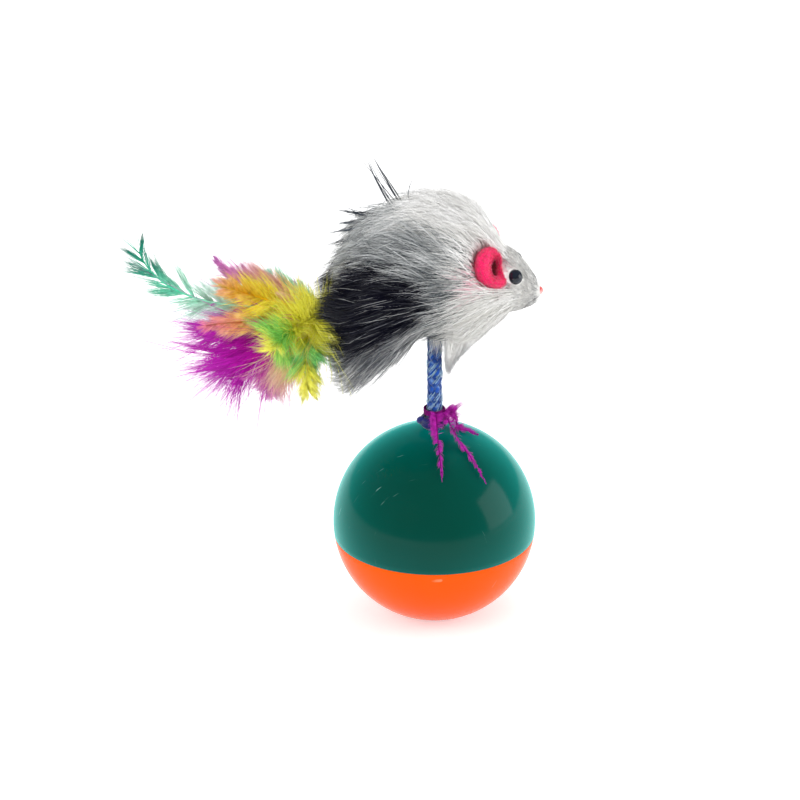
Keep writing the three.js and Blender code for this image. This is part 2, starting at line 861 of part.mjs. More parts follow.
function mouse() {
  const group = new THREE.Group();
  group.position.z = mouseHeight;
  group.add(
    piece("mouse_core", mouseCore(), finishes.foam),
    piece("face_cover", faceCover(), finishes.whiteFur),
    piece("fur_coat", furCoat(), finishes.greyFur),
    piece("ear_right", ear(-1), finishes.pinkFelt),
    piece("ear_left", ear(1), finishes.pinkFelt),
    piece("eye_right", eye(-1), finishes.blackBead),
    piece("eye_left", eye(1), finishes.blackBead),
    piece("nose_bead", nose(), finishes.noseBead),
    tail(),
  );
  return group;
}

export default new THREE.Group().add(ball(), stem(), mouse());
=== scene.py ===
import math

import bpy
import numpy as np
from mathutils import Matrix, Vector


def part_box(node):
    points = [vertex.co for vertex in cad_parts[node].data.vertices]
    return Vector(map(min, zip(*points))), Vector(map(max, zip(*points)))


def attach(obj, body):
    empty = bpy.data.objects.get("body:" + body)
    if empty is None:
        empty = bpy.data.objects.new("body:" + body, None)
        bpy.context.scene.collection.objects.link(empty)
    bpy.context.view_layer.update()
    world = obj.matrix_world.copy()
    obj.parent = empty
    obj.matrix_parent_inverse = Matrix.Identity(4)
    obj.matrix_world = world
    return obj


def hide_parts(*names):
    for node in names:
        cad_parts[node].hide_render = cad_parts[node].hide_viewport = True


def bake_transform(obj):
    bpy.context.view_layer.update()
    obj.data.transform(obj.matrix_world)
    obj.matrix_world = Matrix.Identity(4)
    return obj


bl_info = {
    "name": "Tumbler mouse toy",
    "version": (1, 0, 0),
    "blender": (4, 5, 0),
    "location": "3D View > Sidebar > Toy",
    "description": "A weighted ball with a sprung stem, a fur mouse and a tail of dyed feathers",
    "category": "Add Mesh",
}

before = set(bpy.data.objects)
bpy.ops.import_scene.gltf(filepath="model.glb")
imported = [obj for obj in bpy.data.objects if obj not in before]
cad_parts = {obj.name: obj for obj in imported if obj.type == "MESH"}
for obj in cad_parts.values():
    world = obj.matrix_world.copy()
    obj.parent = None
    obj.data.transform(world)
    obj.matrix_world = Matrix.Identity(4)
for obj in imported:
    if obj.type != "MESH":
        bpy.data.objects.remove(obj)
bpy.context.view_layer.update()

MM = 0.001
TURN = 2 * math.pi

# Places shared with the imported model, in millimetres.
BALL_RADIUS = 25.0
BALL_MIDDLE = 24.754
REST_FLAT = 3.5
SEAM_HEIGHT = 21.154
SEAM_RADIUS = 24.74
SHELL_INSIDE = 23.2
BOSS_RADIUS = 3.4
BOSS_TOP = 7
PILOT_RADIUS = 1.7
PILOT_FLOOR = 3.1
SOCKET_RADIUS = 4
SOCKET_UNDERSIDE = 38.354
SOCKET_FLOOR = 40.154
STEM_BORE = 2.1
STEM_RADIUS = 1.8
WIRE_RADIUS = 0.3
COIL_RADIUS = 0.9
COIL_PITCH = 1.3
MOUSE_HEIGHT = 91.854
TAIL_PIVOT = (-25.7, 0.0, 80.408)

# Profiles of the mouse: (place along the body, value), heights above MOUSE_HEIGHT.
SPINE_HEIGHT = [(-34, -15.5), (-26, -12.4), (-21.5, -11), (-17, -7.6), (-11, -3.8), (-4, -1), (4, 0),
                (10, -0.6), (17, -2), (22, -3.1), (26.2, -4.8)]
BODY_RADIUS = [(-22.5, 1.6), (-20.5, 4), (-17, 6.9), (-11, 9.3), (-4, 10), (4, 9.8), (10, 9.3),
               (14, 8.7), (17, 8), (19.7, 7.3), (22.2, 6.2), (24.2, 4.6), (25.5, 2.7), (26.2, 0.9)]
COAT_HEIGHT = [(-38, -14), (-27.5, -11.2), (-24, -10.6), (-20.5, -8.6), (-16.5, -5.8), (-11, -2.8),
               (-4, 0.1), (4, 0.8), (11.5, 0.7), (17.4, -1.6), (22, -3)]
COAT_RADIUS = [(-38, 9), (-31, 9.5), (-27.5, 11.8), (-24, 14.4), (-20.5, 17.0), (-16.5, 18.8), (-11, 19.8),
               (-4, 19.8), (4, 19.2), (11.5, 16.2), (15, 12.6), (17.4, 9.8), (20, 7.6), (22, 6.5)]


# What all the colours among the settings have in common.
COLOUR = {"subtype": "COLOR", "size": 3, "min": 0, "max": 1}


class BallSettings(bpy.types.PropertyGroup):
    orange: bpy.props.FloatVectorProperty(
        name="Lower half", description="Colour of the lower half of the ball",
        default=(0.93, 0.088, 0.0), **COLOUR)
    green: bpy.props.FloatVectorProperty(
        name="Upper half", description="Colour of the upper half of the ball",
        default=(0.0, 0.032, 0.018), **COLOUR)
    groove: bpy.props.FloatProperty(
        name="Seam groove", description="How far the edges are rounded where the halves meet",
        subtype="DISTANCE", default=0.00018, min=0.00005, max=0.0004)
    facets: bpy.props.IntProperty(
        name="Facets", description="Facets round the ball", default=160, min=48, max=256)


class StemSettings(bpy.types.PropertyGroup):
    strands: bpy.props.IntProperty(
        name="Strands", description="Yarns of the braid in each direction", default=6, min=4, max=12)
    lay: bpy.props.FloatProperty(
        name="Lay", description="Height that a yarn takes for one turn", subtype="DISTANCE",
        default=0.0135, min=0.006, max=0.03)
    blue: bpy.props.FloatVectorProperty(
        name="Blue yarn", description="Main colour of the braid",
        default=(0.006, 0.07, 0.38), **COLOUR)
    pale: bpy.props.FloatVectorProperty(
        name="Pale fleck", description="Colour of the flecks in the braid",
        default=(0.42, 0.66, 0.8), **COLOUR)
    plum: bpy.props.FloatVectorProperty(
        name="Tuft", description="Colour of the feathers at the foot of the stem",
        default=(0.25, 0.002, 0.2), **COLOUR)


class MouseSettings(bpy.types.PropertyGroup):
    density: bpy.props.IntProperty(
        name="Hairs", description="Hairs in each stretch of the coat", default=9000, min=500, max=20000)
    hair_width: bpy.props.FloatProperty(
        name="Hair width", description="Width of a hair at its root", subtype="DISTANCE",
        default=0.00019, min=0.00005, max=0.0004)
    clumping: bpy.props.FloatProperty(
        name="Clumping", description="How far the tips of a lock draw together", subtype="FACTOR",
        default=0.72, min=0, max=1)
    felt: bpy.props.FloatVectorProperty(
        name="Ear felt", description="Colour of the ears",
        default=(0.9, 0.012, 0.14), **COLOUR)
    bead: bpy.props.FloatVectorProperty(
        name="Eye bead", description="Colour of the eyes",
        default=(0.006, 0.009, 0.016), **COLOUR)


class TailSettings(bpy.types.PropertyGroup):
    barbs: bpy.props.IntProperty(
        name="Barbs", description="Barbs on each feather", default=3200, min=100, max=6000)
    barb_width: bpy.props.FloatProperty(
        name="Barb width", description="Width of a barb at its root", subtype="DISTANCE",
        default=0.00018, min=0.00005, max=0.0005)


class StageSettings(bpy.types.PropertyGroup):
    distance: bpy.props.FloatProperty(
        name="Camera distance", description="From the camera to the middle of the view",
        subtype="DISTANCE", default=3.5, min=0.4, max=6)
    elevation: bpy.props.FloatProperty(
        name="Camera elevation", description="Angle of the view above the floor",
        subtype="ANGLE", default=math.radians(24.5), min=0, max=1.5)
    lamp: bpy.props.FloatProperty(
        name="Lamp level", description="Scale for all the lamps", default=1.0, min=0.1, max=3)


SETTINGS = (
    ("toy_ball", BallSettings),
    ("toy_stem", StemSettings),
    ("toy_mouse", MouseSettings),
    ("toy_tail", TailSettings),
    ("toy_stage", StageSettings),
)


# Numbers

def linear(red, green, blue):
    """A colour given in 0 to 255, as the linear values that the shaders use."""
    values = np.array([red, green, blue], float) / 255
    return np.where(values <= 0.04045, values / 12.92, ((values + 0.055) / 1.055) ** 2.4)


def through(stations, places):
    """A smooth curve through (place, value) stations, read at the given places."""
    xs = np.array([s[0] for s in stations], float)
    ys = np.array([s[1] for s in stations], float)
    slopes = np.gradient(ys, xs)
    places = np.clip(np.asarray(places, float), xs[0], xs[-1])
    i = np.clip(np.searchsorted(xs, places) - 1, 0, len(xs) - 2)
    width = xs[i + 1] - xs[i]
    t = (places - xs[i]) / width
    t2 = t * t
    t3 = t2 * t
    return ((2 * t3 - 3 * t2 + 1) * ys[i] + (t3 - 2 * t2 + t) * width * slopes[i]
            + (3 * t2 - 2 * t3) * ys[i + 1] + (t3 - t2) * width * slopes[i + 1])


def smooth(low, high, value):
    """0 at low and 1 at high with eased ends; low may be the larger of the two."""
    t = np.clip((value - low) / (high - low), 0, 1)
    return t * t * (3 - 2 * t)


def unit(vectors):
    """Vectors brought to a length of 1."""
    return vectors / np.maximum(np.linalg.norm(vectors, axis=-1, keepdims=True), 1e-9)


# Meshes

def piece_from(name, points, faces, material, tints=None, body=None, slot=None, sharp=None):
    """A piece from points in millimetres and faces; it rides on a body. Its record slot is not used."""
    mesh = bpy.data.meshes.new(name)
    mesh.from_pydata((np.asarray(points, float) * MM).tolist(), [], [list(map(int, f)) for f in faces])
    mesh.update()
    if tints is not None:
        add_tints(mesh, tints)
    mesh.shade_smooth()
    if sharp is not None:
        mesh.set_sharp_from_angle(angle=math.radians(sharp))
    mesh.materials.append(material)
    piece = bpy.data.objects.new(name, mesh)
    bpy.context.scene.collection.objects.link(piece)
    if body:
        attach(piece, body)
    return piece


def add_tints(mesh, tints):
    """The colours of the points, for the materials that read them."""
    rgba = np.ones((len(mesh.vertices), 4), np.float32)
    rgba[:, :3] = tints
    layer = mesh.attributes.new("tint", "FLOAT_COLOR", "POINT")
    layer.data.foreach_set("color", rgba.ravel())


class Heap:
    """Gathers several shapes into one mesh."""

    def __init__(self):
        self.points = []
        self.faces = []
        self.tints = []
        self.count = 0

    def add(self, points, faces, tint=(1, 1, 1)):
        self.points.append(points)
        self.tints.append(np.broadcast_to(np.asarray(tint, float), (len(points), 3)))
        for face in faces:
            self.faces.append([int(i) + self.count for i in face])
        self.count += len(points)

    def piece(self, name, material, **rest):
        return piece_from(name, np.concatenate(self.points), self.faces, material,
                          tints=np.concatenate(self.tints), **rest)


def ring_faces(rings, sides):
    """Faces that join rings of points one after the other, closed at both ends."""
    faces = []
    for i in range(rings - 1):
        a = i * sides
        b = a + sides
        for j in range(sides):
            k = (j + 1) % sides
            faces.append((a + j, a + k, b + k, b + j))
    faces.append(tuple(reversed(range(sides))))
    faces.append(tuple((rings - 1) * sides + j for j in range(sides)))
    return faces


# A point of a profile with a smaller radius lies on the axis.
ON_AXIS = 1e-6


def lathe(profile, sides):
    """A closed profile of (radius, height) turned about the upright axis."""
    points = []
    first = []
    for radius, height in profile:
        first.append(len(points))
        if radius < ON_AXIS:
            points.append((0, 0, height))
            continue
        for j in range(sides):
            a = TURN * j / sides
            points.append((radius * math.cos(a), radius * math.sin(a), height))
    faces = []
    for i in range(len(profile)):
        n = (i + 1) % len(profile)
        on_axis = profile[i][0] < ON_AXIS, profile[n][0] < ON_AXIS
        if all(on_axis):
            continue
        for j in range(sides):
            k = (j + 1) % sides
            a, b = first[i], first[n]
            if on_axis[0]:
                faces.append((a, b + k, b + j))
            elif on_axis[1]:
                faces.append((a + j, a + k, b))
            else:
                faces.append((a + j, a + k, b + k, b + j))
    return np.array(points, float), faces


def tube(path, radius, sides=8, flat=1.0, guides=None):
    """A tube along a path. Its section starts from a guide direction, which is carried along or
    given at each point, and flat scales it that way."""
    path = np.asarray(path, float)
    radius = np.broadcast_to(np.asarray(radius, float), (len(path),))
    ahead = unit(np.gradient(path, axis=0))
    guide = np.array((0.3, 0.5, 0.8))
    points = []
    for i, middle in enumerate(path):
        if guides is not None:
            guide = guides[i]
        guide = unit(guide - ahead[i] * np.dot(guide, ahead[i]))
        side = np.cross(ahead[i], guide)
        for j in range(sides):
            a = TURN * j / sides
            points.append(middle + radius[i] * (flat * math.cos(a) * guide + math.sin(a) * side))
    return np.array(points), ring_faces(len(path), sides)


HAIR_SIDES = 3


def strands(name, paths, widths, roots, tips, groups, material, body, slot, group_count, twist=None):
    """Many tapered three-sided hairs as one mesh.

    paths is (hairs, stations, 3) in millimetres and its last station is the tip. widths is the
    thickness at each station but the tip. roots and tips are a hair's two colours, and twist the
    way its section faces. Hairs of one group share a row of the map OFBake, with the root at its
    left.
    """
    hairs, stations, _ = paths.shape
    rings = stations - 1
    ahead = np.empty_like(paths)
    ahead[:, 1:-1] = paths[:, 2:] - paths[:, :-2]
    ahead[:, 0] = paths[:, 1] - paths[:, 0]
    ahead[:, -1] = paths[:, -1] - paths[:, -2]
    ahead = unit(ahead)
    guide = twist if twist is not None else unit(np.random.default_rng(7).normal(size=(hairs, 3)))
    guide = guide[:, None, :] - ahead * np.sum(ahead * guide[:, None, :], axis=2, keepdims=True)
    guide = unit(guide)
    side = np.cross(ahead, guide)
    angles = (TURN * np.arange(HAIR_SIDES) / HAIR_SIDES)[None, None, :, None]
    ring = np.cos(angles) * guide[:, :rings, None, :] + np.sin(angles) * side[:, :rings, None, :]
    ring = paths[:, :rings, None, :] + ring * (widths[:, :rings, None, None] / 2)
    per_hair = rings * HAIR_SIDES + 1
    points = np.empty((hairs, per_hair, 3))
    points[:, :-1] = ring.reshape(hairs, rings * HAIR_SIDES, 3)
    points[:, -1] = paths[:, -1]

    share = np.repeat(np.arange(rings) / rings, HAIR_SIDES)
    share = np.append(share, 1.0)[None, :, None]
    tints = roots[:, None, :] * (1 - share) + tips[:, None, :] * share

    quads = []
    quad_map = []
    for k in range(rings - 1):
        low = k * HAIR_SIDES
        high = low + HAIR_SIDES
        for s in range(HAIR_SIDES):
            n = (s + 1) % HAIR_SIDES
            quads.append((low + s, low + n, high + n, high + s))
            quad_map.append(((k, s), (k, s + 1), (k + 1, s + 1), (k + 1, s)))
    tops = []
    top_map = []
    last = (rings - 1) * HAIR_SIDES
    for s in range(HAIR_SIDES):
        tops.append((last + s, last + (s + 1) % HAIR_SIDES, last + HAIR_SIDES))
        top_map.append(((rings - 1, s), (rings - 1, s + 1), (rings, s + 0.5)))
    tops.append((2, 1, 0))
    top_map.append(((0, 2), (0.2, 1), (0, 0)))

    base = (np.arange(hairs) * per_hair)[:, None, None]
    quad_index = (base + np.array(quads)[None]).reshape(-1)
    top_index = (base + np.array(tops)[None]).reshape(-1)
    loops = np.concatenate([quad_index, top_index]).astype(np.int32)
    quad_total = hairs * len(quads)
    top_total = hairs * len(tops)
    starts = np.concatenate([np.arange(quad_total) * 4, quad_total * 4 + np.arange(top_total) * 3])

    def unwrapped(shape):
        """Places in the map, a little inside the edges of each group's row."""
        cells = np.array(shape, float).reshape(-1, 2)
        u = 0.01 + 0.98 * cells[:, 0] / rings
        v = 0.1 + 0.8 * cells[:, 1] / HAIR_SIDES
        row = groups[:, None] + v[None, :]
        return np.stack([np.broadcast_to(u, row.shape), row / group_count], axis=2).reshape(-1, 2)

    mesh = bpy.data.meshes.new(name)
    mesh.vertices.add(hairs * per_hair)
    mesh.vertices.foreach_set("co", (points.reshape(-1) * MM).astype(np.float32))
    mesh.loops.add(len(loops))
    mesh.loops.foreach_set("vertex_index", loops)
    mesh.polygons.add(len(starts))
    mesh.polygons.foreach_set("loop_start", starts.astype(np.int32))
    mesh.update(calc_edges=True)
    chart = mesh.uv_layers.new(name="OFBake")
    both = np.concatenate([unwrapped(quad_map), unwrapped(top_map)])
    chart.data.foreach_set("uv", both.astype(np.float32).ravel())
    add_tints(mesh, tints.reshape(-1, 3))
    mesh.shade_smooth()
    mesh.materials.append(material)
    piece = bpy.data.objects.new(name, mesh)
    bpy.context.scene.collection.objects.link(piece)
    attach(piece, body)
    return piece


# Shader nodes

def place(tree, kind, inputs=None, **settings):
    """A shader node with its settings and its inputs, each a value or another node's output."""
    made = tree.nodes.new("ShaderNode" + kind)
    for key, value in settings.items():
        setattr(made, key, value)
    for key, value in (inputs or {}).items():
        if isinstance(value, bpy.types.NodeSocket):
            tree.links.new(value, made.inputs[key])
        else:
            made.inputs[key].default_value = value
    return made


def arithmetic(tree, operation, a, b):
    return place(tree, "Math", {0: a, 1: b}, operation=operation).outputs[0]


def blended(tree, factor, a, b):
    """The colour a where the factor is 0 and b where it is 1."""
    return place(tree, "Mix", {0: factor, 6: a, 7: b}, data_type="RGBA").outputs[2]


def spread(tree, value, low, high, to_low=0.0, to_high=1.0, **settings):
    """A value carried from one range to another, and held at its ends."""
    sockets = {"Value": value, 1: low, 2: high, 3: to_low, 4: to_high}
    return place(tree, "MapRange", sockets, **settings).outputs[0]


def noise(tree, where, scale, detail, roughness=0.5):
    """Cloudy noise at a place, about 0.5 in the middle."""
    sockets = {"Vector": where, "Scale": scale, "Detail": detail, "Roughness": roughness}
    return place(tree, "TexNoise", sockets).outputs[0]


def effect(name, inputs, outputs):
    """A node group with named inputs and outputs; gives the group and its two end nodes."""
    group = bpy.data.node_groups.get(name)
    if group:
        return group, None, None
    group = bpy.data.node_groups.new(name, "ShaderNodeTree")
    for label, kind, default in inputs:
        socket = group.interface.new_socket(name=label, in_out="INPUT", socket_type=kind)
        if default is not None:
            socket.default_value = default
    for label, kind in outputs:
        group.interface.new_socket(name=label, in_out="OUTPUT", socket_type=kind)
    return group, group.nodes.new("NodeGroupInput"), group.nodes.new("NodeGroupOutput")


def handling_wear():
    """Fine scratches, rubbed patches and a slight waviness, for moulded plastic and beads."""
    group, given, gives = effect(
        "Handling wear",
        [("Vector", "NodeSocketVector", None), ("Scale", "NodeSocketFloat", 1.0),
         ("Scratches", "NodeSocketFloat", 0.5), ("Gloss", "NodeSocketFloat", 0.1)],
        [("Mask", "NodeSocketFloat"), ("Roughness", "NodeSocketFloat"), ("Height", "NodeSocketFloat")])
    if given is None:
        return group
    scaled = place(group, "VectorMath", {0: given.outputs["Vector"], "Scale": given.outputs["Scale"]},
                   operation="SCALE").outputs[0]
    turned = place(group, "Mapping", {"Vector": scaled, "Rotation": (0.5, 0.35, 0.9), "Scale": (1, 14, 1)})
    scratches = spread(group, noise(group, turned.outputs[0], 140.0, 3.0), 0.7, 0.75)
    rubbed = spread(group, noise(group, scaled, 45.0, 2.0), 0.48, 0.66)
    mask = arithmetic(group, "MULTIPLY", scratches, rubbed)
    mask = arithmetic(group, "MULTIPLY", mask, given.outputs["Scratches"])
    haze = arithmetic(group, "MULTIPLY", rubbed, 0.07)
    rough = arithmetic(group, "ADD", given.outputs["Gloss"], haze)
    rough = arithmetic(group, "ADD", rough, arithmetic(group, "MULTIPLY", mask, 0.35))
    wave = arithmetic(group, "MULTIPLY", noise(group, scaled, 160.0, 1.0), 0.12)
    height = arithmetic(group, "SUBTRACT", wave, mask)
    group.links.new(mask, gives.inputs["Mask"])
    group.links.new(rough, gives.inputs["Roughness"])
    group.links.new(height, gives.inputs["Height"])
    return group


def fibre_grain():
    """Fine fibres with light and dark ones among them, for yarn, felt, hair and down."""
    group, given, gives = effect(
        "Fibre grain",
        [("Vector", "NodeSocketVector", None), ("Color", "NodeSocketColor", (1, 1, 1, 1)),
         ("Scale", "NodeSocketFloat", 900.0), ("Depth", "NodeSocketFloat", 0.4),
         ("Nap", "NodeSocketFloat", 0.7)],
        [("Color", "NodeSocketColor"), ("Roughness", "NodeSocketFloat"), ("Height", "NodeSocketFloat")])
    if given is None:
        return group
    grain = noise(group, given.outputs["Vector"], given.outputs["Scale"], 4.0, 0.65)
    shade = spread(group, grain, 0.3, 0.7, -0.5, 0.5)
    change = arithmetic(group, "MULTIPLY", shade, given.outputs["Depth"])
    factor = arithmetic(group, "ADD", change, 1.0)
    tinted = place(group, "VectorMath", {0: given.outputs["Color"], "Scale": factor}, operation="SCALE")
    change = arithmetic(group, "MULTIPLY", shade, 0.2)
    rough = arithmetic(group, "ADD", given.outputs["Nap"], change)
    group.links.new(tinted.outputs[0], gives.inputs["Color"])
    group.links.new(rough, gives.inputs["Roughness"])
    group.links.new(grain, gives.inputs["Height"])
    return group


def begin_material(name):
    """An empty material with a Principled shader; gives the material, its tree and its shader."""
    material = bpy.data.materials.new(name)
    material.use_nodes = True
    tree = material.node_tree
    tree.nodes.clear()
    out = place(tree, "OutputMaterial")
    shader = place(tree, "BsdfPrincipled")
    tree.links.new(shader.outputs[0], out.inputs[0])
    return material, tree, shader


def raised(tree, shader, height, distance, strength=1.0):
    """Lets a height stand out of the surface by a distance in metres."""
    bump = place(tree, "Bump", {"Height": height, "Distance": distance, "Strength": strength})
    tree.links.new(bump.outputs[0], shader.inputs["Normal"])


def worn(tree, shader, where, scratches, gloss, scale=1.0):
    """Places the handling wear in a material, where it sets the roughness, and gives its node."""
    sockets = {"Vector": where, "Scale": scale, "Scratches": scratches, "Gloss": gloss}
    wear = place(tree, "Group", sockets, node_tree=handling_wear())
    tree.links.new(wear.outputs["Roughness"], shader.inputs["Roughness"])
    return wear


def moulded_plastic(name, below, above, heights, scratch, bloom, glow):
    """Glossy plastic with fine scratches, which goes from one colour to another between two heights in
    metres; this change with height is painted light and shade, not a change in the plastic. Light that gets
    into its skin shows at its edges as a bloom in the colour glow."""
    material, tree, shader = begin_material(name)
    where = place(tree, "TexCoord").outputs["Object"]
    height = place(tree, "SeparateXYZ", {0: where}).outputs["Z"]
    # Painted light and shade: the colour changes with height, as light falls on the ball.
    rise = spread(tree, height, *heights, interpolation_type="SMOOTHSTEP")
    mottle = spread(tree, noise(tree, where, 38.0, 2.0), 0.3, 0.7, -0.3, 0.3)
    share = place(tree, "Math", {0: rise, 1: mottle}, operation="ADD", use_clamp=True).outputs[0]
    wear = worn(tree, shader, where, scratches=0.5, gloss=0.13)
    base = blended(tree, share, (*below, 1), (*above, 1))
    base = blended(tree, wear.outputs["Mask"], base, (*scratch, 1))
    tree.links.new(base, shader.inputs["Base Color"])
    raised(tree, shader, wear.outputs["Height"], 0.00004, 0.5)
    shader.inputs["IOR"].default_value = 1.5
    shader.inputs["Specular IOR Level"].default_value = 0.1
    shader.inputs["Sheen Weight"].default_value = bloom
    shader.inputs["Sheen Roughness"].default_value = 0.5
    shader.inputs["Sheen Tint"].default_value = (*glow, 1)
    return material


def turned_steel():
    """Drawn or turned steel with fine rings, for the spring, the ballast and its screw."""
    material, tree, shader = begin_material("turned steel")
    where = place(tree, "TexCoord").outputs["Object"]
    rings = place(tree, "TexWave", {"Vector": where, "Scale": 420.0, "Distortion": 1.5, "Detail": 2.0},
                  wave_type="RINGS", rings_direction="Z").outputs[1]
    wear = worn(tree, shader, where, scratches=0.8, gloss=0.27)
    base = blended(tree, rings, (0.46, 0.47, 0.48, 1), (0.56, 0.57, 0.58, 1))
    base = blended(tree, wear.outputs["Mask"], base, (0.75, 0.76, 0.78, 1))
    tree.links.new(base, shader.inputs["Base Color"])
    shader.inputs["Metallic"].default_value = 1.0
    raised(tree, shader, rings, 0.00003, 0.6)
    return material


def fibre_material(name, scale, depth, nap, relief, sheen, stretch=(1, 1, 1)):
    """Yarn, felt, hair or down in the mesh's own tints. Its grain has a scale, a depth of shade, a
    roughness called nap and, where it isn't None, a relief in metres."""
    material, tree, shader = begin_material(name)
    where = place(tree, "TexCoord").outputs["Object"]
    where = place(tree, "Mapping", {"Vector": where, "Scale": stretch}).outputs[0]
    tint = place(tree, "Attribute", attribute_name="tint").outputs["Color"]
    sockets = {"Vector": where, "Color": tint, "Scale": scale, "Depth": depth, "Nap": nap}
    grain = place(tree, "Group", sockets, node_tree=fibre_grain())
    tree.links.new(grain.outputs["Color"], shader.inputs["Base Color"])
    tree.links.new(grain.outputs["Roughness"], shader.inputs["Roughness"])
    shader.inputs["Sheen Weight"].default_value = sheen
    shader.inputs["Sheen Roughness"].default_value = 0.5
    shader.inputs["Specular IOR Level"].default_value = 0.12
    if relief:
        raised(tree, shader, grain.outputs["Height"], relief)
    return material


def bead_material(name, colour, second, gloss):
    """A polished bead, clouded with a second colour."""
    material, tree, shader = begin_material(name)
    where = place(tree, "TexCoord").outputs["Object"]
    cloud = spread(tree, noise(tree, where, 420.0, 2.0), 0.42, 0.62)
    wear = worn(tree, shader, where, scratches=0.25, gloss=gloss, scale=6.0)
    base = blended(tree, cloud, (*colour, 1), (*second, 1))
    tree.links.new(base, shader.inputs["Base Color"])
    raised(tree, shader, wear.outputs["Height"], 0.00001, 0.4)
    shader.inputs["Specular IOR Level"].default_value = 0.4
    return material


# Stage

def floor_material():
    """Pale paper that looks white to the camera and in gloss, and still takes the shadow."""
    material, tree, shader = begin_material("studio paper")
    where = place(tree, "TexCoord").outputs["Object"]
    tone = spread(tree, noise(tree, where, 260.0, 5.0), 0.3, 0.7, 0.84, 0.88)
    paper = place(tree, "CombineColor", {0: tone, 1: tone, 2: tone}).outputs[0]
    tree.links.new(paper, shader.inputs["Base Color"])
    shader.inputs["Roughness"].default_value = 0.9
    shader.inputs["Specular IOR Level"].default_value = 0.0
    rays = place(tree, "LightPath")
    seen = arithmetic(tree, "MAXIMUM", rays.outputs["Is Camera Ray"], rays.outputs["Is Glossy Ray"])
    strength = arithmetic(tree, "MULTIPLY", seen, 0.42)
    glow = place(tree, "Emission", {"Color": (1, 1, 1, 1), "Strength": strength})
    both = place(tree, "AddShader", {0: shader.outputs[0], 1: glow.outputs[0]})
    out = next(n for n in tree.nodes if n.type == "OUTPUT_MATERIAL")
    tree.links.new(both.outputs[0], out.inputs[0])
    return material


# The photograph's frame, the size of one of its pixels at the toy and the place at its middle.
FRAME_PIXELS = 800
PIXEL = 0.2475 * MM
VIEW_MIDDLE = Vector((-8.49, 12.27, 51.68)) * MM
SENSOR = 36

# name, place and size in metres, power in watts and whether gloss mirrors it
LAMPS = (
    ("right softbox", (0.62, -0.08, 0.22), (0.46, 0.4), 1.9, True),
    ("left softbox", (-0.44, -0.46, 0.3), (0.5, 0.5), 2.2, False),
    ("overhead softbox", (0.05, 0.1, 0.9), (0.6, 0.6), 1.2, False),
)


class BuildStage(bpy.types.Operator):
    """Lay the pale floor, hang the soft lamps and set the camera"""
    bl_idname = "toy.build_stage"
    bl_label = "Floor, lamps and camera"

    def execute(self, context):
        scene = context.scene
        settings = scene.toy_stage
        mesh = bpy.data.meshes.new("floor")
        half = 6.0
        mesh.from_pydata([(-half, -half, 0), (half, -half, 0), (half, half, 0), (-half, half, 0)],
                         [], [(0, 1, 2, 3)])
        mesh.materials.append(floor_material())
        floor = bpy.data.objects.new("floor", mesh)
        scene.collection.objects.link(floor)

        world = bpy.data.worlds.new("studio")
        scene.world = world
        world.use_nodes = True
        tree = world.node_tree
        tree.nodes.clear()
        rays = place(tree, "LightPath")
        level = spread(tree, rays.outputs["Is Camera Ray"], 0.0, 1.0, 0.9, 1.0)
        dimmed = arithmetic(tree, "MULTIPLY", rays.outputs["Is Glossy Ray"], 0.6)
        level = arithmetic(tree, "SUBTRACT", level, dimmed)
        sky = place(tree, "Background", {"Color": (1, 1, 1, 1), "Strength": level})
        out = place(tree, "OutputWorld")
        tree.links.new(sky.outputs[0], out.inputs[0])

        aim = Vector((0, 0, 0.055))
        for name, where, size, power, mirrored in LAMPS:
            data = bpy.data.lights.new(name, "AREA")
            data.shape = "RECTANGLE"
            data.size, data.size_y = size
            data.energy = power * settings.lamp
            lamp = bpy.data.objects.new(name, data)
            lamp.location = where
            lamp.visible_glossy = mirrored
            lamp.rotation_euler = (aim - Vector(where)).to_track_quat("-Z", "Y").to_euler()
            scene.collection.objects.link(lamp)

        lens = bpy.data.cameras.new("camera")
        camera = bpy.data.objects.new("camera", lens)
        scene.collection.objects.link(camera)
        ahead = Vector((0, math.cos(settings.elevation), -math.sin(settings.elevation)))
        camera.location = VIEW_MIDDLE - ahead * settings.distance
        camera.rotation_euler = ahead.to_track_quat("-Z", "Y").to_euler()
        lens.sensor_width = SENSOR
        lens.lens = SENSOR * settings.distance / (FRAME_PIXELS * PIXEL)
        lens.clip_start = 0.02
        lens.clip_end = 60
        scene.camera = camera
        scene.view_settings.view_transform = "Standard"
        scene.cycles.max_bounces = 16
        scene.cycles.diffuse_bounces = 14
        return {"FINISHED"}


# Ball

ARC_STEP = 3.0
TONGUE_HEIGHT = 2
TONGUE_INSET = 1.05
REBATE_HEIGHT = 2.3
REBATE_INSET = 0.75


def sphere_arc(radius, first, last):
    """Points of a circle about the ball's middle; angles in degrees from straight down."""
    count = max(1, round(abs(last - first) / ARC_STEP))
    arc = []
    for i in range(count + 1):
        a = math.radians(first + (last - first) * i / count)
        arc.append((radius * math.sin(a), BALL_MIDDLE - radius * math.cos(a)))
    return arc


def angle_at(radius, height):
    """The angle from straight down at which a circle about the ball's middle has a height."""
    return math.degrees(math.acos((BALL_MIDDLE - height) / radius))


def angle_out(radius, out):
    """The angle from straight down at which it lies that far from the upright axis."""
    return math.degrees(math.asin(out / radius))


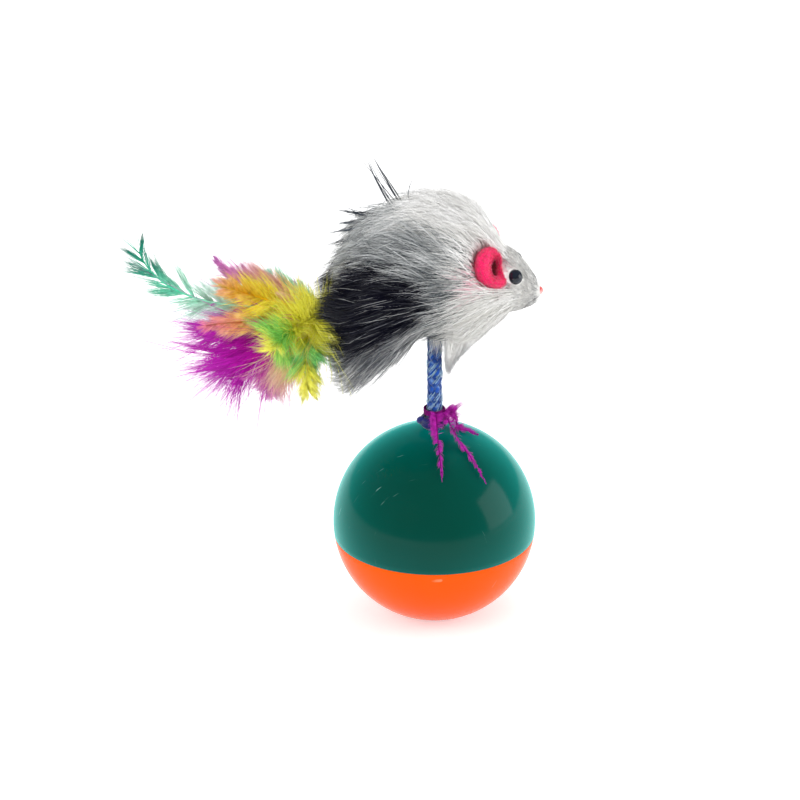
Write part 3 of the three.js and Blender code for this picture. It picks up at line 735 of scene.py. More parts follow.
class BuildBall(bpy.types.Operator):
    """Mould the two half-shells and finish the ballast and its screw"""
    bl_idname = "toy.build_ball"
    bl_label = "Ball"

    def execute(self, context):
        settings = context.scene.toy_ball
        groove = settings.groove / MM
        # Painted shade: the orange half is darker towards its bottom, near the floor.
        orange = moulded_plastic("orange plastic", (0.76, 0.068, 0.0), settings.orange, (0.001, 0.014),
                                 scratch=(1.0, 0.5, 0.3), bloom=0.25, glow=(1.0, 0.3, 0.02))
        # Painted light: the green half is lighter low down near the seam and darker towards its top.
        green = moulded_plastic("green plastic", (0.0, 0.044, 0.034), settings.green, (0.014, 0.034),
                                scratch=(0.35, 0.62, 0.58), bloom=1.0, glow=(0.0, 0.8, 0.72))
        rounded = 0.3 * groove
        tongue_out = SEAM_RADIUS - TONGUE_INSET
        tongue_in = math.sqrt(SHELL_INSIDE ** 2 - (BALL_MIDDLE - SEAM_HEIGHT) ** 2)
        tongue_top = SEAM_HEIGHT + TONGUE_HEIGHT
        lower = [(0, 0)]
        lower += sphere_arc(BALL_RADIUS, angle_out(BALL_RADIUS, REST_FLAT),
                            angle_at(BALL_RADIUS, SEAM_HEIGHT - groove))
        lower += [(SEAM_RADIUS - rounded, SEAM_HEIGHT - rounded), (SEAM_RADIUS - groove, SEAM_HEIGHT),
                  (tongue_out, SEAM_HEIGHT), (tongue_out, tongue_top), (tongue_in, tongue_top)]
        lower += sphere_arc(SHELL_INSIDE, angle_at(SHELL_INSIDE, tongue_top - 0.5),
                            angle_out(SHELL_INSIDE, BOSS_RADIUS))
        lower += [(BOSS_RADIUS, BOSS_TOP), (PILOT_RADIUS, BOSS_TOP), (PILOT_RADIUS, PILOT_FLOOR),
                  (0, PILOT_FLOOR)]
        points, faces = lathe(lower, settings.facets)
        piece = piece_from("lower_half", points, faces, orange, body="ball", slot="orange_plastic", sharp=40)
        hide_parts("lower_shell")

        rebate = SEAM_HEIGHT + REBATE_HEIGHT
        skirt = SEAM_RADIUS - REBATE_INSET
        upper = [(0, SOCKET_UNDERSIDE), (SOCKET_RADIUS, SOCKET_UNDERSIDE)]
        upper += sphere_arc(SHELL_INSIDE, 180 - angle_out(SHELL_INSIDE, SOCKET_RADIUS),
                            angle_at(SHELL_INSIDE, rebate))
        upper += [(skirt, rebate), (skirt, SEAM_HEIGHT), (SEAM_RADIUS - groove, SEAM_HEIGHT),
                  (SEAM_RADIUS - rounded, SEAM_HEIGHT + rounded)]
        mouth = BALL_MIDDLE + math.sqrt(BALL_RADIUS ** 2 - STEM_BORE ** 2)
        upper += sphere_arc(BALL_RADIUS, angle_at(BALL_RADIUS, SEAM_HEIGHT + groove),
                            180 - angle_out(BALL_RADIUS, STEM_BORE + 0.25))
        upper += [(STEM_BORE + 0.06, mouth - 0.05), (STEM_BORE, mouth - 0.25), (STEM_BORE, SOCKET_FLOOR),
                  (0, SOCKET_FLOOR)]
        points, faces = lathe(upper, settings.facets)
        piece = piece_from("upper_half", points, faces, green, body="ball", slot="green_plastic", sharp=40)
        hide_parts("upper_shell")

        steel = turned_steel()
        for name in ("ballast_weight", "ballast_screw"):
            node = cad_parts[name]
            if not node.material_slots:
                raise RuntimeError(f"{name} has no material slot")
            node.material_slots[0].material = steel
        return {"FINISHED"}


# Feathers

BARB_STEPS = (0.0, 0.35, 0.7, 1.0)


def feather_barbs(line, across, count, reach, rng, base=0.06, openness=(62, 26), fluff=0.22,
                  bend=0.25, clumps=46, thin_out=0.0, draw=0.75, taper=(0.72, 2.2), opening=0.25,
                  wisps=(0.05, 1.5), gather=0.022, lengths=(0.5, 1.08, 1.0)):
    """Paths of the barbs of one feather and their places along its quill, from 0 to 1.

    line holds the quill's points and across the direction of the vane at each. The barbs start at
    base and lie open by the first angle of openness there and by the second at the tip. They draw
    together in locks, called clumps. fluff lifts them out of the vane, thin_out moves them to the
    base, and taper is how much shorter they get towards the tip, and how late. wisps is the share
    of long loose barbs and their length, and lengths the shortest, the longest and their skew.
    """
    spans = np.linspace(0, 1, len(line))
    ahead = unit(np.gradient(line, axis=0))

    def at(table, share):
        return np.stack([np.interp(share, spans, table[:, i]) for i in range(3)], axis=1)

    def laid(share, side, open_by, long_by, rise, u):
        along = at(ahead, share)
        wide = unit(at(across, share))
        normal = np.cross(along, wide)
        angle = np.radians(openness[0] + (openness[1] - openness[0]) * share) * open_by
        out = np.cos(angle)[:, None] * along + (np.sin(angle) * side)[:, None] * wide
        full = smooth(-opening, 0.3, share) * (1 - taper[0] * share ** taper[1])
        span = (reach * full * long_by)[:, None]
        return (at(line, share) + span * (out * u + along * bend * u * u)
                + normal * span * (rise[:, None] * (0.6 * u + 0.4 * u * u)))

    lock_share = base + (1 - base) * rng.random(clumps) ** (1 + thin_out)
    lock_side = rng.choice([-1.0, 1.0], clumps)
    lock_open = rng.normal(1, 0.16, clumps)
    crowd = rng.random(clumps) ** 1.6 + 0.04
    lock_long = rng.uniform(0.75, 1.1, clumps) + 0.35 * (1 - crowd) ** 2
    lock_rise = rng.normal(0, fluff, clumps)
    lock = rng.choice(clumps, count, p=crowd / crowd.sum())
    share = np.clip(lock_share[lock] + rng.normal(0, gather, count), base * 0.5, 0.995)
    side = lock_side[lock]
    own_open = lock_open[lock] + rng.normal(0, 0.22, count)
    short, long, skew = lengths
    own_long = lock_long[lock] * (short + (long - short) * rng.random(count) ** skew)
    own_rise = lock_rise[lock] + rng.normal(0, fluff * 0.8, count)
    pull = draw * rng.random(count) ** 0.4
    wisp = rng.random(count) < wisps[0]
    own_long = np.where(wisp, own_long * rng.uniform(1.1, wisps[1], count), own_long)
    pull = np.where(wisp, 0, pull)
    paths = np.empty((count, len(BARB_STEPS), 3))
    for i, u in enumerate(BARB_STEPS):
        own = laid(share, side, own_open, own_long, own_rise, u)
        shared = laid(lock_share[lock], side, lock_open[lock], lock_long[lock], lock_rise[lock], u)
        weight = (pull * u * u)[:, None]
        paths[:, i] = own * (1 - weight) + shared * weight
    return paths, share


def ramp(stops, share):
    """Colours at places from 0 to 1 between stops of (place, (red, green, blue))."""
    places = [s[0] for s in stops]
    colours = np.array([linear(*s[1]) for s in stops])
    return np.stack([np.interp(share, places, colours[:, i]) for i in range(3)], axis=1)


# Under 1, the dyes are brighter than the colours seen, to make up for the shade among the barbs.
DYE_LIFT = 0.55
QUILL_LIFT = 0.8
BARB_BINS = 16
BARB_SHADES = 4


def feather_piece(name, line, across, root_stops, tip_stops, material, body, slot, count, width,
                  seed, keep_out=None, **shape):
    """One dyed feather: its barbs, tinted from the quill outwards and from its root to its tip."""
    rng = np.random.default_rng(seed)
    paths, share = feather_barbs(line, across, count, rng=rng, **shape)
    if keep_out is not None:
        paths = keep_out(paths)
    bins = np.clip((share * BARB_BINS).astype(int), 0, BARB_BINS - 1)
    shade = rng.integers(0, BARB_SHADES, count)
    level = (0.92 + 0.35 * shade / (BARB_SHADES - 1))[:, None]
    middle = (bins + 0.5) / BARB_BINS
    roots = np.clip(ramp(root_stops, middle) ** DYE_LIFT * level, 0, 1)
    tips = np.clip(ramp(tip_stops, middle) ** DYE_LIFT * level, 0, 1)
    widths = np.stack([width * rng.uniform(0.8, 1.1, count), width * rng.uniform(0.7, 1.0, count),
                       width * rng.uniform(0.35, 0.6, count)], axis=1)
    return strands(name, paths, widths, roots, tips, bins * BARB_SHADES + shade, material, body, slot,
                   BARB_BINS * BARB_SHADES, twist=unit(rng.normal(size=(count, 3))))


# How high the tuft's barbs and quills lie over the ball.
BARB_GAP = 0.25
QUILL_GAP = 0.9


def outside_ball(paths):
    """Moves points that would lie in the ball or on it out to just above its surface."""
    middle = np.array([0, 0, BALL_MIDDLE])
    away = paths - middle
    far = np.linalg.norm(away, axis=-1, keepdims=True)
    least = BALL_RADIUS + BARB_GAP
    return np.where(far < least, middle + away / far * least, paths)


# Stem

def braid(heap, low, high, settings, rng):
    """A round braid: yarns laid one way and the other that pass over and under each other."""
    count = settings.strands
    lay = settings.lay / MM
    crossing = lay / (2 * count)
    radius = 1.53
    weave = 0.15
    yarn_width = 3.5 / count
    yarn_flatness = 0.3
    yarn_sides = 8
    steps = int((high - low) / (crossing / 3)) + 2
    heights = np.linspace(low, high, steps)
    blue = np.array(settings.blue)
    pale = np.array(settings.pale)
    for hand in (1, -1):
        for i in range(count):
            turn = hand * TURN * heights / lay + TURN * i / count
            out = radius + hand * weave * np.cos(math.pi * heights / crossing)
            around = np.stack([np.cos(turn), np.sin(turn), np.zeros(steps)], axis=1)
            path = around * out[:, None]
            path[:, 2] = heights
            points, faces = tube(path, yarn_width, yarn_sides, yarn_flatness, guides=around)
            fleck = np.sin(2.1 * heights + 2.4 * i) + 0.7 * np.sin(5.3 * heights + 1.3 * i)
            strength = 0.3 if hand > 0 and i % 2 == 0 else 0.04
            share = (smooth(0.1, 0.9, fleck) * strength)[:, None]
            shade = blue * (1.0 if hand > 0 else 0.62) * rng.uniform(0.85, 1.2)
            tint = shade * (1 - share) + pale * share
            heap.add(points, faces, np.repeat(tint, yarn_sides, axis=0))

    pale_hairs_per_mm = 9
    for _ in range(int((high - low) * pale_hairs_per_mm)):
        rise = rng.uniform(1.0, 2.4)
        start = rng.uniform(low, high - rise)
        u = np.linspace(0, 1, 5)
        turn = rng.uniform(0, TURN) + TURN * (start + u * rise) / lay * 0.9
        out = STEM_RADIUS + 0.22 * np.sin(math.pi * u) * rng.uniform(0.4, 1.6)
        path = np.stack([out * np.cos(turn), out * np.sin(turn), start + rise * u], axis=1)
        points, faces = tube(path, 0.055, sides=3)
        heap.add(points, faces, pale * rng.uniform(0.6, 1.3))


def coil_path(low, high):
    """The spring's wire from its lower end to its upper one."""
    rise = high - low - 2 * WIRE_RADIUS
    turns = rise / COIL_PITCH
    u = np.linspace(0, 1, int(turns * 24))
    turn = TURN * turns * u
    return np.stack([COIL_RADIUS * np.cos(turn), COIL_RADIUS * np.sin(turn),
                     low + WIRE_RADIUS + rise * u], axis=1)


def wound_yarn(heap, radius, low, high, turns, thick, tint, rng, lean=0.0, rough=0.06):
    """Yarn wound round the stem, each turn a little uneven; lean moves it to the rear."""
    u = np.linspace(0, 1, int(turns * 40))
    turn = TURN * turns * u
    out = radius + rough * np.sin(turn * 1.37 + 2) + rough * np.sin(turn * 0.61)
    path = np.stack([out * np.cos(turn) - lean, out * np.sin(turn), low + (high - low) * u], axis=1)
    points, faces = tube(path, thick * (1 + 0.08 * np.sin(turn * 3.1)), sides=8)
    heap.add(points, faces, np.array(tint) * rng.uniform(0.9, 1.1))


def tuft_quill(turn, reach, places=24):
    """The quill of one feather of the tuft, from its binding down the ball, and its vane's direction.
    turn is its way round the stem and reach the angle down the ball at its tip, in degrees."""
    out = np.array((math.cos(turn), math.sin(turn), 0))
    knots = [out * away + (0, 0, height) for away, height in ((3.0, 54.55), (4.4, 54.1), (5.7, 53.0))]
    radius = BALL_RADIUS + QUILL_GAP
    for share in (0.5, 0.65, 0.78, 0.9, 1.0):
        a = math.radians(reach * share)
        knots.append(out * radius * math.sin(a) + (0, 0, BALL_MIDDLE + radius * math.cos(a)))
    knots = np.array(knots)
    along = np.linspace(0, 1, places)
    line = np.stack([np.interp(along, np.linspace(0, 1, len(knots)), knots[:, i]) for i in range(3)], axis=1)
    return line, np.tile(np.array((-math.sin(turn), math.cos(turn), 0)), (places, 1))


# Stretches of the sleeve and the spring: the bodies that they join and two heights in metres, which nothing
# reads; a stretch between two bodies rides on neither.
STRETCHES = (
    ("base", ("ball", "stem_lower"), 0.0555, 0.0615),
    ("middle", ("stem_lower", "stem_upper"), 0.0625, 0.0683),
    ("top", ("stem_upper",), 0, 0),
)
# The solids' sleeves end this far below the next one; the braid closes the gap.
SLEEVE_GAP = 0.3

# Feathers of the tuft: name, way round the stem, angle down the ball, reach and number of the barbs.
TUFT = (("front", -84, 44, 3.2, 1900), ("side", -50, 50, 2.6, 1500), ("right", -6, 24, 4.0, 2300))
PLUM = [(0, (140, 0, 120)), (0.5, (165, 5, 140)), (1, (120, 0, 110))]
PLUM_TIP = [(0, (158, 6, 140)), (0.5, (170, 12, 145)), (1, (104, 0, 98))]


class BuildStem(bpy.types.Operator):
    """Wind the spring, braid its sleeve and bind the cuff and the feather tuft at its foot"""
    bl_idname = "toy.build_stem"
    bl_label = "Stem"

    def execute(self, context):
        settings = context.scene.toy_stem
        rng = np.random.default_rng(11)
        steel = bpy.data.materials["turned steel"]
        yarn = fibre_material("braided yarn", scale=2600.0, depth=0.7, nap=0.62, relief=0.00006, sheen=0.4,
                              stretch=(1, 1, 0.45))
        for part, bodies, start, end in STRETCHES:
            low, high = (corner[2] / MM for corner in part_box(f"sleeve_{part}"))
            if part != "top":
                high += SLEEVE_GAP
            heap = Heap()
            braid(heap, low, high, settings, rng)
            sleeve = heap.piece(f"woven_sleeve_{part}", yarn, slot="blue_weave")
            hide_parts(f"sleeve_{part}")
            low, high = (corner[2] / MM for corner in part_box(f"spring_{part}"))
            points, faces = tube(coil_path(low, high), WIRE_RADIUS, sides=10)
            coil = piece_from(f"coil_spring_{part}", points, faces, steel, slot="steel")
            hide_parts(f"spring_{part}")
            for piece in (sleeve, coil):
                if len(bodies) == 1:
                    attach(piece, bodies[0])
                else:
                    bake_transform(piece)

        navy = np.array((0.008, 0.012, 0.12))
        cuff = Heap()
        wound_yarn(cuff, radius=2.45, low=50.6, high=53.0, turns=4.2, thick=0.62, tint=navy, rng=rng,
                   lean=0.3)
        u = np.linspace(0, 1, 30)
        bulge = np.stack([-2.5 - 1.1 * np.sin(math.pi * u), -1.5 + 2.6 * u, 53.2 - 2.6 * u], axis=1)
        points, faces = tube(bulge, 0.45 + 0.4 * np.sin(math.pi * u), sides=10)
        cuff.add(points, faces, navy * 1.3)
        piece = cuff.piece("yarn_cuff", yarn, body="ball", slot="blue_weave")
        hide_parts("sleeve_cuff")

        plum = np.array(settings.plum)
        down = fibre_material("dyed down", scale=1500.0, depth=0.5, nap=0.65, relief=None, sheen=0.0)
        binding = Heap()
        wound_yarn(binding, radius=2.5, low=53.9, high=55.2, turns=6.5, thick=0.2, tint=plum * 0.6,
                   rng=rng, rough=0.04)
        piece = binding.piece("tuft_thread", down, body="ball", slot="purple_down")
        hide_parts("tuft_binding")

        quills = Heap()
        for order, (part, turn, reach, barb, count) in enumerate(TUFT):
            line, across = tuft_quill(math.radians(turn), reach)
            piece = feather_piece(
                f"plum_feather_{part}", line, across, PLUM, PLUM_TIP, down, "ball", "purple_down", count,
                width=0.13, seed=300 + order, keep_out=outside_ball, reach=barb, base=0.02,
                openness=(110, 16), fluff=0.6, bend=0.5, clumps=60, draw=0.8, thin_out=1.1,
                taper=(0.93, 0.6))
            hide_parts(f"base_feather_{part}")
            points, faces = tube(outside_ball(line), np.linspace(0.2, 0.05, len(line)), sides=6)
            quills.add(points, faces, plum * 0.7)
        quills.piece("plum_quills", down, body="ball", slot="purple_down")
        return {"FINISHED"}


# Mouse

# Places along a hair, as shares of its length.
HAIR_STEPS = (0.0, 0.3, 0.58, 0.82, 1.0)


def wrapped(turn):
    """A turn in radians brought to the range from minus to plus half a turn."""
    return (turn + math.pi) % TURN - math.pi


def from_top(turn):
    """How far a turn lies from the top of the body, to either side, in degrees."""
    return np.degrees(np.abs(wrapped(turn)))


def coat_point(x, turn, depth):
    """A place in the coat: x along the body, turn in radians from the top towards the mouse's right,
    depth 0 on the skin and 1 at the coat's outside. On the face the skin lies under its short pile,
    and under the chest the coat is parted where the stem goes in."""
    x = np.asarray(x, float)
    body = through(BODY_RADIUS, x)
    skin = body - 0.25 * smooth(12, 18, x) - 0.8 * smooth(19.2, 22, x) * smooth(27, 24, x)
    skin = np.maximum(skin, 0.25 * body)
    under = smooth(100, 138, from_top(turn))
    parted = 0.12 * under * smooth(-10, -4, x) * (1 - smooth(2.5, 6, x))
    radius = skin + (through(COAT_RADIUS, x) * (1 - parted) - skin) * depth
    low = through(SPINE_HEIGHT, x) - 0.5 * smooth(19, 22, x)
    height = MOUSE_HEIGHT + low + (through(COAT_HEIGHT, x) - low) * depth
    return np.stack([x, -np.sin(turn) * radius, height + np.cos(turn) * radius], axis=-1)


# Kinds of fur. Each has the colours of its darkest hairs, at the root and the tip, and of its palest.
WHITE, GREY, DARK, FRINGE, BLUSH = range(5)
COAT_COLOURS = (
    (((228, 228, 224), (240, 239, 235)), ((252, 251, 250), (255, 255, 255))),
    (((36, 42, 46), (104, 112, 116)), ((170, 176, 178), (250, 251, 251))),
    (((4, 4, 16), (14, 15, 34)), ((46, 48, 62), (190, 193, 200))),
    (((50, 52, 60), (112, 116, 122)), ((200, 201, 200), (252, 252, 252))),
    (((251, 150, 182), (255, 226, 233)), ((253, 196, 213), (255, 243, 246))),
)
# The colour of the backing under each kind.
BACKING_COLOURS = ((246, 245, 243), (104, 110, 113), (9, 9, 22), (140, 143, 146), (250, 180, 195))
COAT_SHADES = 10
COAT_GROUPS = COAT_SHADES * len(COAT_COLOURS)


def hair_tints(kind, shade):
    """Root and tip colours of hairs of the given kinds and shades, and their rows in the map."""
    tables = np.array([[[linear(*c) for c in pair] for pair in pairs] for pairs in COAT_COLOURS])
    share = (shade / (COAT_SHADES - 1))[:, None]
    roots = tables[kind, 0, 0] * (1 - share) + tables[kind, 1, 0] * share
    tips = tables[kind, 0, 1] * (1 - share) + tables[kind, 1, 1] * share
    return roots, tips, kind * COAT_SHADES + shade


def coat_kind(x, turn, uneven):
    """Which fur grows at a place: white in front, grey on the back, a dark patch on each flank and a
    fringe below it. The three rows of uneven make the borders ragged."""
    side = from_top(turn)
    kind = np.full(x.shape, WHITE)
    kind = np.where(x < -9 + 13.5 * smooth(12, 52, side) + 4.0 * uneven[0], GREY, kind)
    upper = 33 + 2.5 * (x + 20) + 7 * uneven[1]
    lower = 119 - 0.5 * (x + 20) + 6 * uneven[2]
    flank = (side > upper) & (side < lower) & (x < 1.5 + 2.5 * uneven[0])
    kind = np.where(flank, DARK, kind)
    return np.where((side >= lower) & (x < -1 + 3 * uneven[0]), FRINGE, kind)


# How far a hair's tip has turned round the body from its root, for roots from the top to underneath,
# in degrees: over the flank hairs rise to the rear, and from the patch's lower edge they fall.
FLOW = [(0, 0), (18, -7), (42, -24), (62, -36), (84, -35), (98, -15), (112, 7), (130, 15), (155, 9),
        (180, 0)]


def swept(turn):
    """The change of turn from a hair's root to its tip, in radians."""
    return np.sign(wrapped(turn)) * np.radians(through(FLOW, from_top(turn)))


def grow_coat(name, material, slot, settings, seed, x_range, turn_range, length, depth,
              count=None, droop=0.0, flow=1.0, fall=0.0, lie=1.35, locks=330, spread=1.3, width=1.0,
              stray=0.14, dense=None, rear_end=28.6, lift_off=0.0):
    """One stretch of the coat: hairs in locks that rise from the skin and lie back.

    Turns are in degrees here and lengths in millimetres. dense is a range of turns that gets more
    locks. flow is the share of the sweep round the body, lie how late a hair runs back, droop and
    fall how it hangs, spread the width of a lock, stray the share of hairs outside the locks,
    rear_end how far behind the middle hairs may reach, and lift_off how far the tips stand out.
    """
    rng = np.random.default_rng(seed)
    count = count or settings.density
    lock_x = rng.uniform(*x_range, locks)
    lock_turn = np.radians(rng.uniform(*turn_range, locks))
    if dense:
        more = np.radians(rng.uniform(*dense, locks))
        lock_turn = np.where(rng.random(locks) < 0.4, more, lock_turn)
    lock_length = rng.uniform(*length, locks)
    lock_depth = rng.uniform(*depth, locks)
    lock_sway = rng.normal(0, 0.09, locks)
    lock_shade = rng.uniform(0, COAT_SHADES - 1, locks)
    lock_wave = rng.uniform(0, TURN, locks)
    lock = rng.integers(0, locks, count)
    alone = rng.random(count) < stray
    shift_x = rng.normal(0, spread, count)
    shift_turn = rng.normal(0, spread, count) / 14
    pull = settings.clumping * rng.random(count) ** 0.35
    pull = np.where(alone, 0.1, pull)
    run = lock_length[lock] * rng.uniform(0.72, 1.08, count)

    # The coat ends further forward on the back and low on the flanks than behind the patch.
    level = from_top(lock_turn)
    low_side = smooth(80, 112, level) * smooth(200, 160, level)
    high_side = smooth(88, 50, level)
    rear = (rear_end - 4.4 * low_side - 7.0 * high_side + rng.normal(0, 1.8, locks))[lock]
    rear = rear + rng.normal(0, 1.2, count)
    run = np.maximum(np.minimum(run, lock_x[lock] + shift_x + rear), 4.0)
    top = lock_depth[lock] + rng.normal(0, 0.05, count)
    top = np.where(alone, top + rng.uniform(0, 0.2, count), top)
    sway = lock_sway[lock] + np.where(alone, rng.normal(0, 0.2, count), rng.normal(0, 0.035, count))
    sway = sway + flow * swept(lock_turn)[lock]

    paths = np.empty((count, len(HAIR_STEPS), 3))
    for i, u in enumerate(HAIR_STEPS):
        hold = 1 - pull * u
        x = lock_x[lock] + shift_x * hold - run * u ** lie
        turn = lock_turn[lock] + shift_turn * hold + sway * u
        turn = turn + droop * u * np.sin(turn)
        turn = turn + 0.01 * np.sin(lock_wave[lock] + 5 * u)
        paths[:, i] = coat_point(x, turn, top * (1 - (1 - u) ** 2.1) + lift_off * u * u)
        paths[:, i, 2] -= fall * u * u
        if i == 2:
            seen_x, seen_turn = x, turn
    clear = clear_of_ears(paths)

    # The colour goes by the place of a hair's middle, which is where it is seen.
    uneven = rng.normal(0, 0.5, (3, locks))[:, lock] + rng.normal(0, 0.35, (3, count))
    kind = coat_kind(seen_x, seen_turn, uneven)
    loose = alone & (kind == DARK) & (rng.random(count) < 0.1)
    kind = np.where(loose, GREY, kind)
    side = from_top(seen_turn)
    # Painted light and shade: hairs on top are paler and hairs low on the sides darker, as light falls from
    # above.
    painted_light_and_shade = 3.0 * smooth(48, 14, side) * smooth(-24, -10, seen_x) - 2.6 * smooth(60, 95, side)
    shade = lock_shade[lock] + rng.normal(0, 2.2, count) + painted_light_and_shade + 4 * loose
    shade = np.clip(np.rint(shade), 0, COAT_SHADES - 1).astype(int)
    darkest = (kind == DARK) & (rng.random(count) > 0.012)
    shade = np.where(darkest, shade // 5, shade)
    for side in (-1, 1):
        near = ear_frame(side)[0] + np.array((-0.8, 0, -1.2))
        gap = np.linalg.norm(paths[:, 1] - near, axis=1)
        flush = (kind == WHITE) & (rng.random(count) < 0.65 * smooth(6.8, 4.6, gap))
        kind = np.where(flush, BLUSH, kind)
    roots, tips, groups = hair_tints(kind, shade)
    thick = settings.hair_width / MM * width * rng.uniform(0.75, 1.1, count) * np.where(loose, 0.7, 1.0)
    widths = np.stack([thick * share for share in (1.0, 0.95, 0.8, 0.5)], axis=1)
    twist = unit(rng.normal(size=(count, 3)))
    return strands(name, paths[clear], widths[clear], roots[clear], tips[clear], groups[clear], material,
                   "mouse", slot, COAT_GROUPS, twist=twist[clear])


# The lower edge of the fringe under the chest: place along the body and height.
FRINGE_EDGE = [(-1, 73), (1.5, 68), (3, 63.6), (5, 66.6), (9, 71.8), (13, 75.2), (16, 77.6), (20, 81)]


def chest_fringe(name, material, settings, seed, count):
    """White hairs that hang from the chest, drawn to a point close in front of the stem. A few of
    them, the veil, hang beside the stem instead."""
    rng = np.random.default_rng(seed)
    locks = 170
    lock_x = 3.2 + 14.3 * rng.random(locks) ** 1.25
    lock_turn = rng.uniform(math.radians(118), math.radians(242), locks)
    lock_tip = 2.5 + (lock_x - 3.2) * rng.uniform(0.4, 0.85, locks) + rng.normal(0, 0.3, locks)
    lock_rise = rng.exponential(1.5, locks)
    lock_side = rng.normal(0, 1.5, locks)
    lock_shade = rng.uniform(0, COAT_SHADES - 1, locks)
    lock = rng.integers(0, locks, count)
    own_x = np.clip(lock_x[lock] + rng.normal(0, 1.3, count), 3.0, 18.5)
    own_turn = lock_turn[lock] + rng.normal(0, 0.2, count)
    foot = coat_point(own_x, own_turn, 0.05)
    loose = rng.random(count) < 0.16
    tip_x = lock_tip[lock] + rng.normal(0, 0.5, count) * np.where(loose, 2.2, 1.0)
    tip_x = np.maximum(tip_x, 2.3 + rng.exponential(0.6, count))
    tip_z = through(FRINGE_EDGE, tip_x) + lock_rise[lock] + rng.exponential(1.2, count) - 0.9 * loose
    tip_y = foot[:, 1] * rng.uniform(0.42, 0.74, count) + lock_side[lock] + rng.normal(0, 0.6, count)
    tip_z = tip_z + 0.35 * np.abs(tip_y)
    tip = np.stack([tip_x, tip_y, np.minimum(tip_z, foot[:, 2] - 2)], axis=1)
    guide = coat_point(own_x + 0.5, own_turn, 0.62)
    guide[:, 0] = np.maximum(guide[:, 0], 2.8)
    veil = rng.random(count) < 0.022
    hand = np.where(np.sin(own_turn) > 0, -1.0, 1.0)
    for part, across in ((foot, 4.6), (guide, 4.2), (tip, 3.0)):
        part[:, 1] = np.where(veil, hand * (across + rng.uniform(-0.3, 0.5, count)), part[:, 1])
        part[:, 0] = np.where(veil, rng.uniform(-1.6, 3.2, count), part[:, 0])
    tip[:, 2] = np.where(veil, rng.uniform(69, 74, count), tip[:, 2])
    paths = np.stack([foot * (1 - u) ** 2 + guide * 2 * u * (1 - u) + tip * u * u for u in HAIR_STEPS],
                     axis=1)
    shade = np.rint(lock_shade[lock] + rng.normal(0, 3, count))
    shade = np.clip(shade, 1, COAT_SHADES - 1).astype(int)
    roots, tips, groups = hair_tints(np.full(count, WHITE), shade)
    thick = settings.hair_width / MM * rng.uniform(0.7, 1.0, count)
    widths = np.stack([thick * share for share in (1.0, 0.9, 0.72, 0.42)], axis=1)
    return strands(name, paths, widths, roots, tips, groups, material, "mouse", "white_fur", COAT_GROUPS,
                   twist=unit(rng.normal(size=(count, 3))))


def stuffed_form(name, stations, material, tint_at, depth, swell, seed):
    """A closed form round the body at one depth of the coat, with a soft unevenness. Under the ears
    it goes back to the skin."""
    rng = np.random.default_rng(seed)
    sides = 96
    turns = TURN * np.arange(sides) / sides
    phase = rng.uniform(0, TURN, 6)
    points = []
    tints = []
    for x in stations:
        skin = coat_point(np.full(sides, x), turns, 0.0)
        hollow = np.ones(sides)
        for side in (-1, 1):
            gap = np.linalg.norm(skin - ear_frame(side)[0], axis=1)
            hollow *= smooth(5.2, 8.0, gap)
        ring = coat_point(np.full(sides, x), turns, depth * hollow)
        middle = ring.mean(axis=0)
        lumps = (np.sin(3 * turns + 0.5 * x + phase[0]) + np.sin(5 * turns - 0.8 * x + phase[1])
                 + 0.6 * np.sin(9 * turns + 1.7 * x + phase[2]))
        points.append(middle + (ring - middle) * (1 + swell * lumps / 2)[:, None])
        tints.append(tint_at(np.full(sides, x), turns, rng))
    faces = ring_faces(len(stations), sides)
    return piece_from(name, np.concatenate(points), faces, material, tints=np.concatenate(tints))


def head_place(x, out, lift, side):
    """A place at a distance out from the spine, lifted by an angle in degrees from level; side -1 is
    the mouse's right."""
    a = math.radians(lift)
    height = MOUSE_HEIGHT + float(through(SPINE_HEIGHT, x))
    return np.array((x, side * out * math.cos(a), height + out * math.sin(a)))


def round_bead(heap, middle, radius, flat=1.0):
    """A ball at a place; flat is its height as a share of its width."""
    rings = 28
    profile = []
    for i in range(rings + 1):
        a = math.pi * i / rings
        profile.append((radius * math.sin(a) if 0 < i < rings else 0.0, -radius * flat * math.cos(a)))
    points, faces = lathe(profile, 40)
    heap.add(points + middle, faces)


EYE_X = 19.7
EYE_OUT = float(through(BODY_RADIUS, EYE_X)) - 0.8
EYE_RADIUS = 1.9
EYE_LIFT = 33
EYE_POST = 4.6
NOSE_PLACE = np.array((25.45, 0, 86.9))
NOSE_RADIUS = 1.25
EAR_X = 12.6
EAR_LIFT = 38
EAR_TURN = 32


def ear_frame(side):
    """Root of an ear and its three directions: out through its mouth, up along it and across."""
    a = math.radians(EAR_LIFT)
    b = math.radians(EAR_TURN)
    out = np.array((0, side * math.cos(a), math.sin(a)))
    mouth = unit(out * math.cos(b) + np.array((math.sin(b), 0, 0)))
    tall = np.array((0, -side * math.sin(a), math.cos(a)))
    wide = unit(np.cross(tall, mouth))
    root = head_place(EAR_X, float(through(BODY_RADIUS, EAR_X)) + 0.3, EAR_LIFT, side)
    root = root + (-0.6, 0, -0.9)
    return root, mouth, tall, wide


# The felt's section from its root over the rim and down into the cup:
# level, half width, half height, place along the mouth's direction, shift to the front.
EAR_SECTION = np.array([
    (0.0, 0.6, 0.9, -0.6, 0.0), (0.3, 2.2, 2.8, 0.2, 0.0), (0.6, 3.4, 4.5, 1.2, 0.0),
    (0.85, 3.85, 5.1, 2.3, 0.0), (1.0, 3.9, 5.15, 3.0, 0.0), (1.25, 3.65, 4.9, 3.9, 0.05),
    (1.5, 3.0, 4.2, 4.4, 0.4), (1.75, 2.1, 3.3, 4.2, 0.95), (2.0, 1.45, 2.7, 3.5, 1.3),
    (2.4, 1.15, 2.3, 2.2, 1.35), (2.8, 0.8, 1.5, 1.3, 1.2), (3.0, 0.3, 0.5, 1.05, 1.1)])


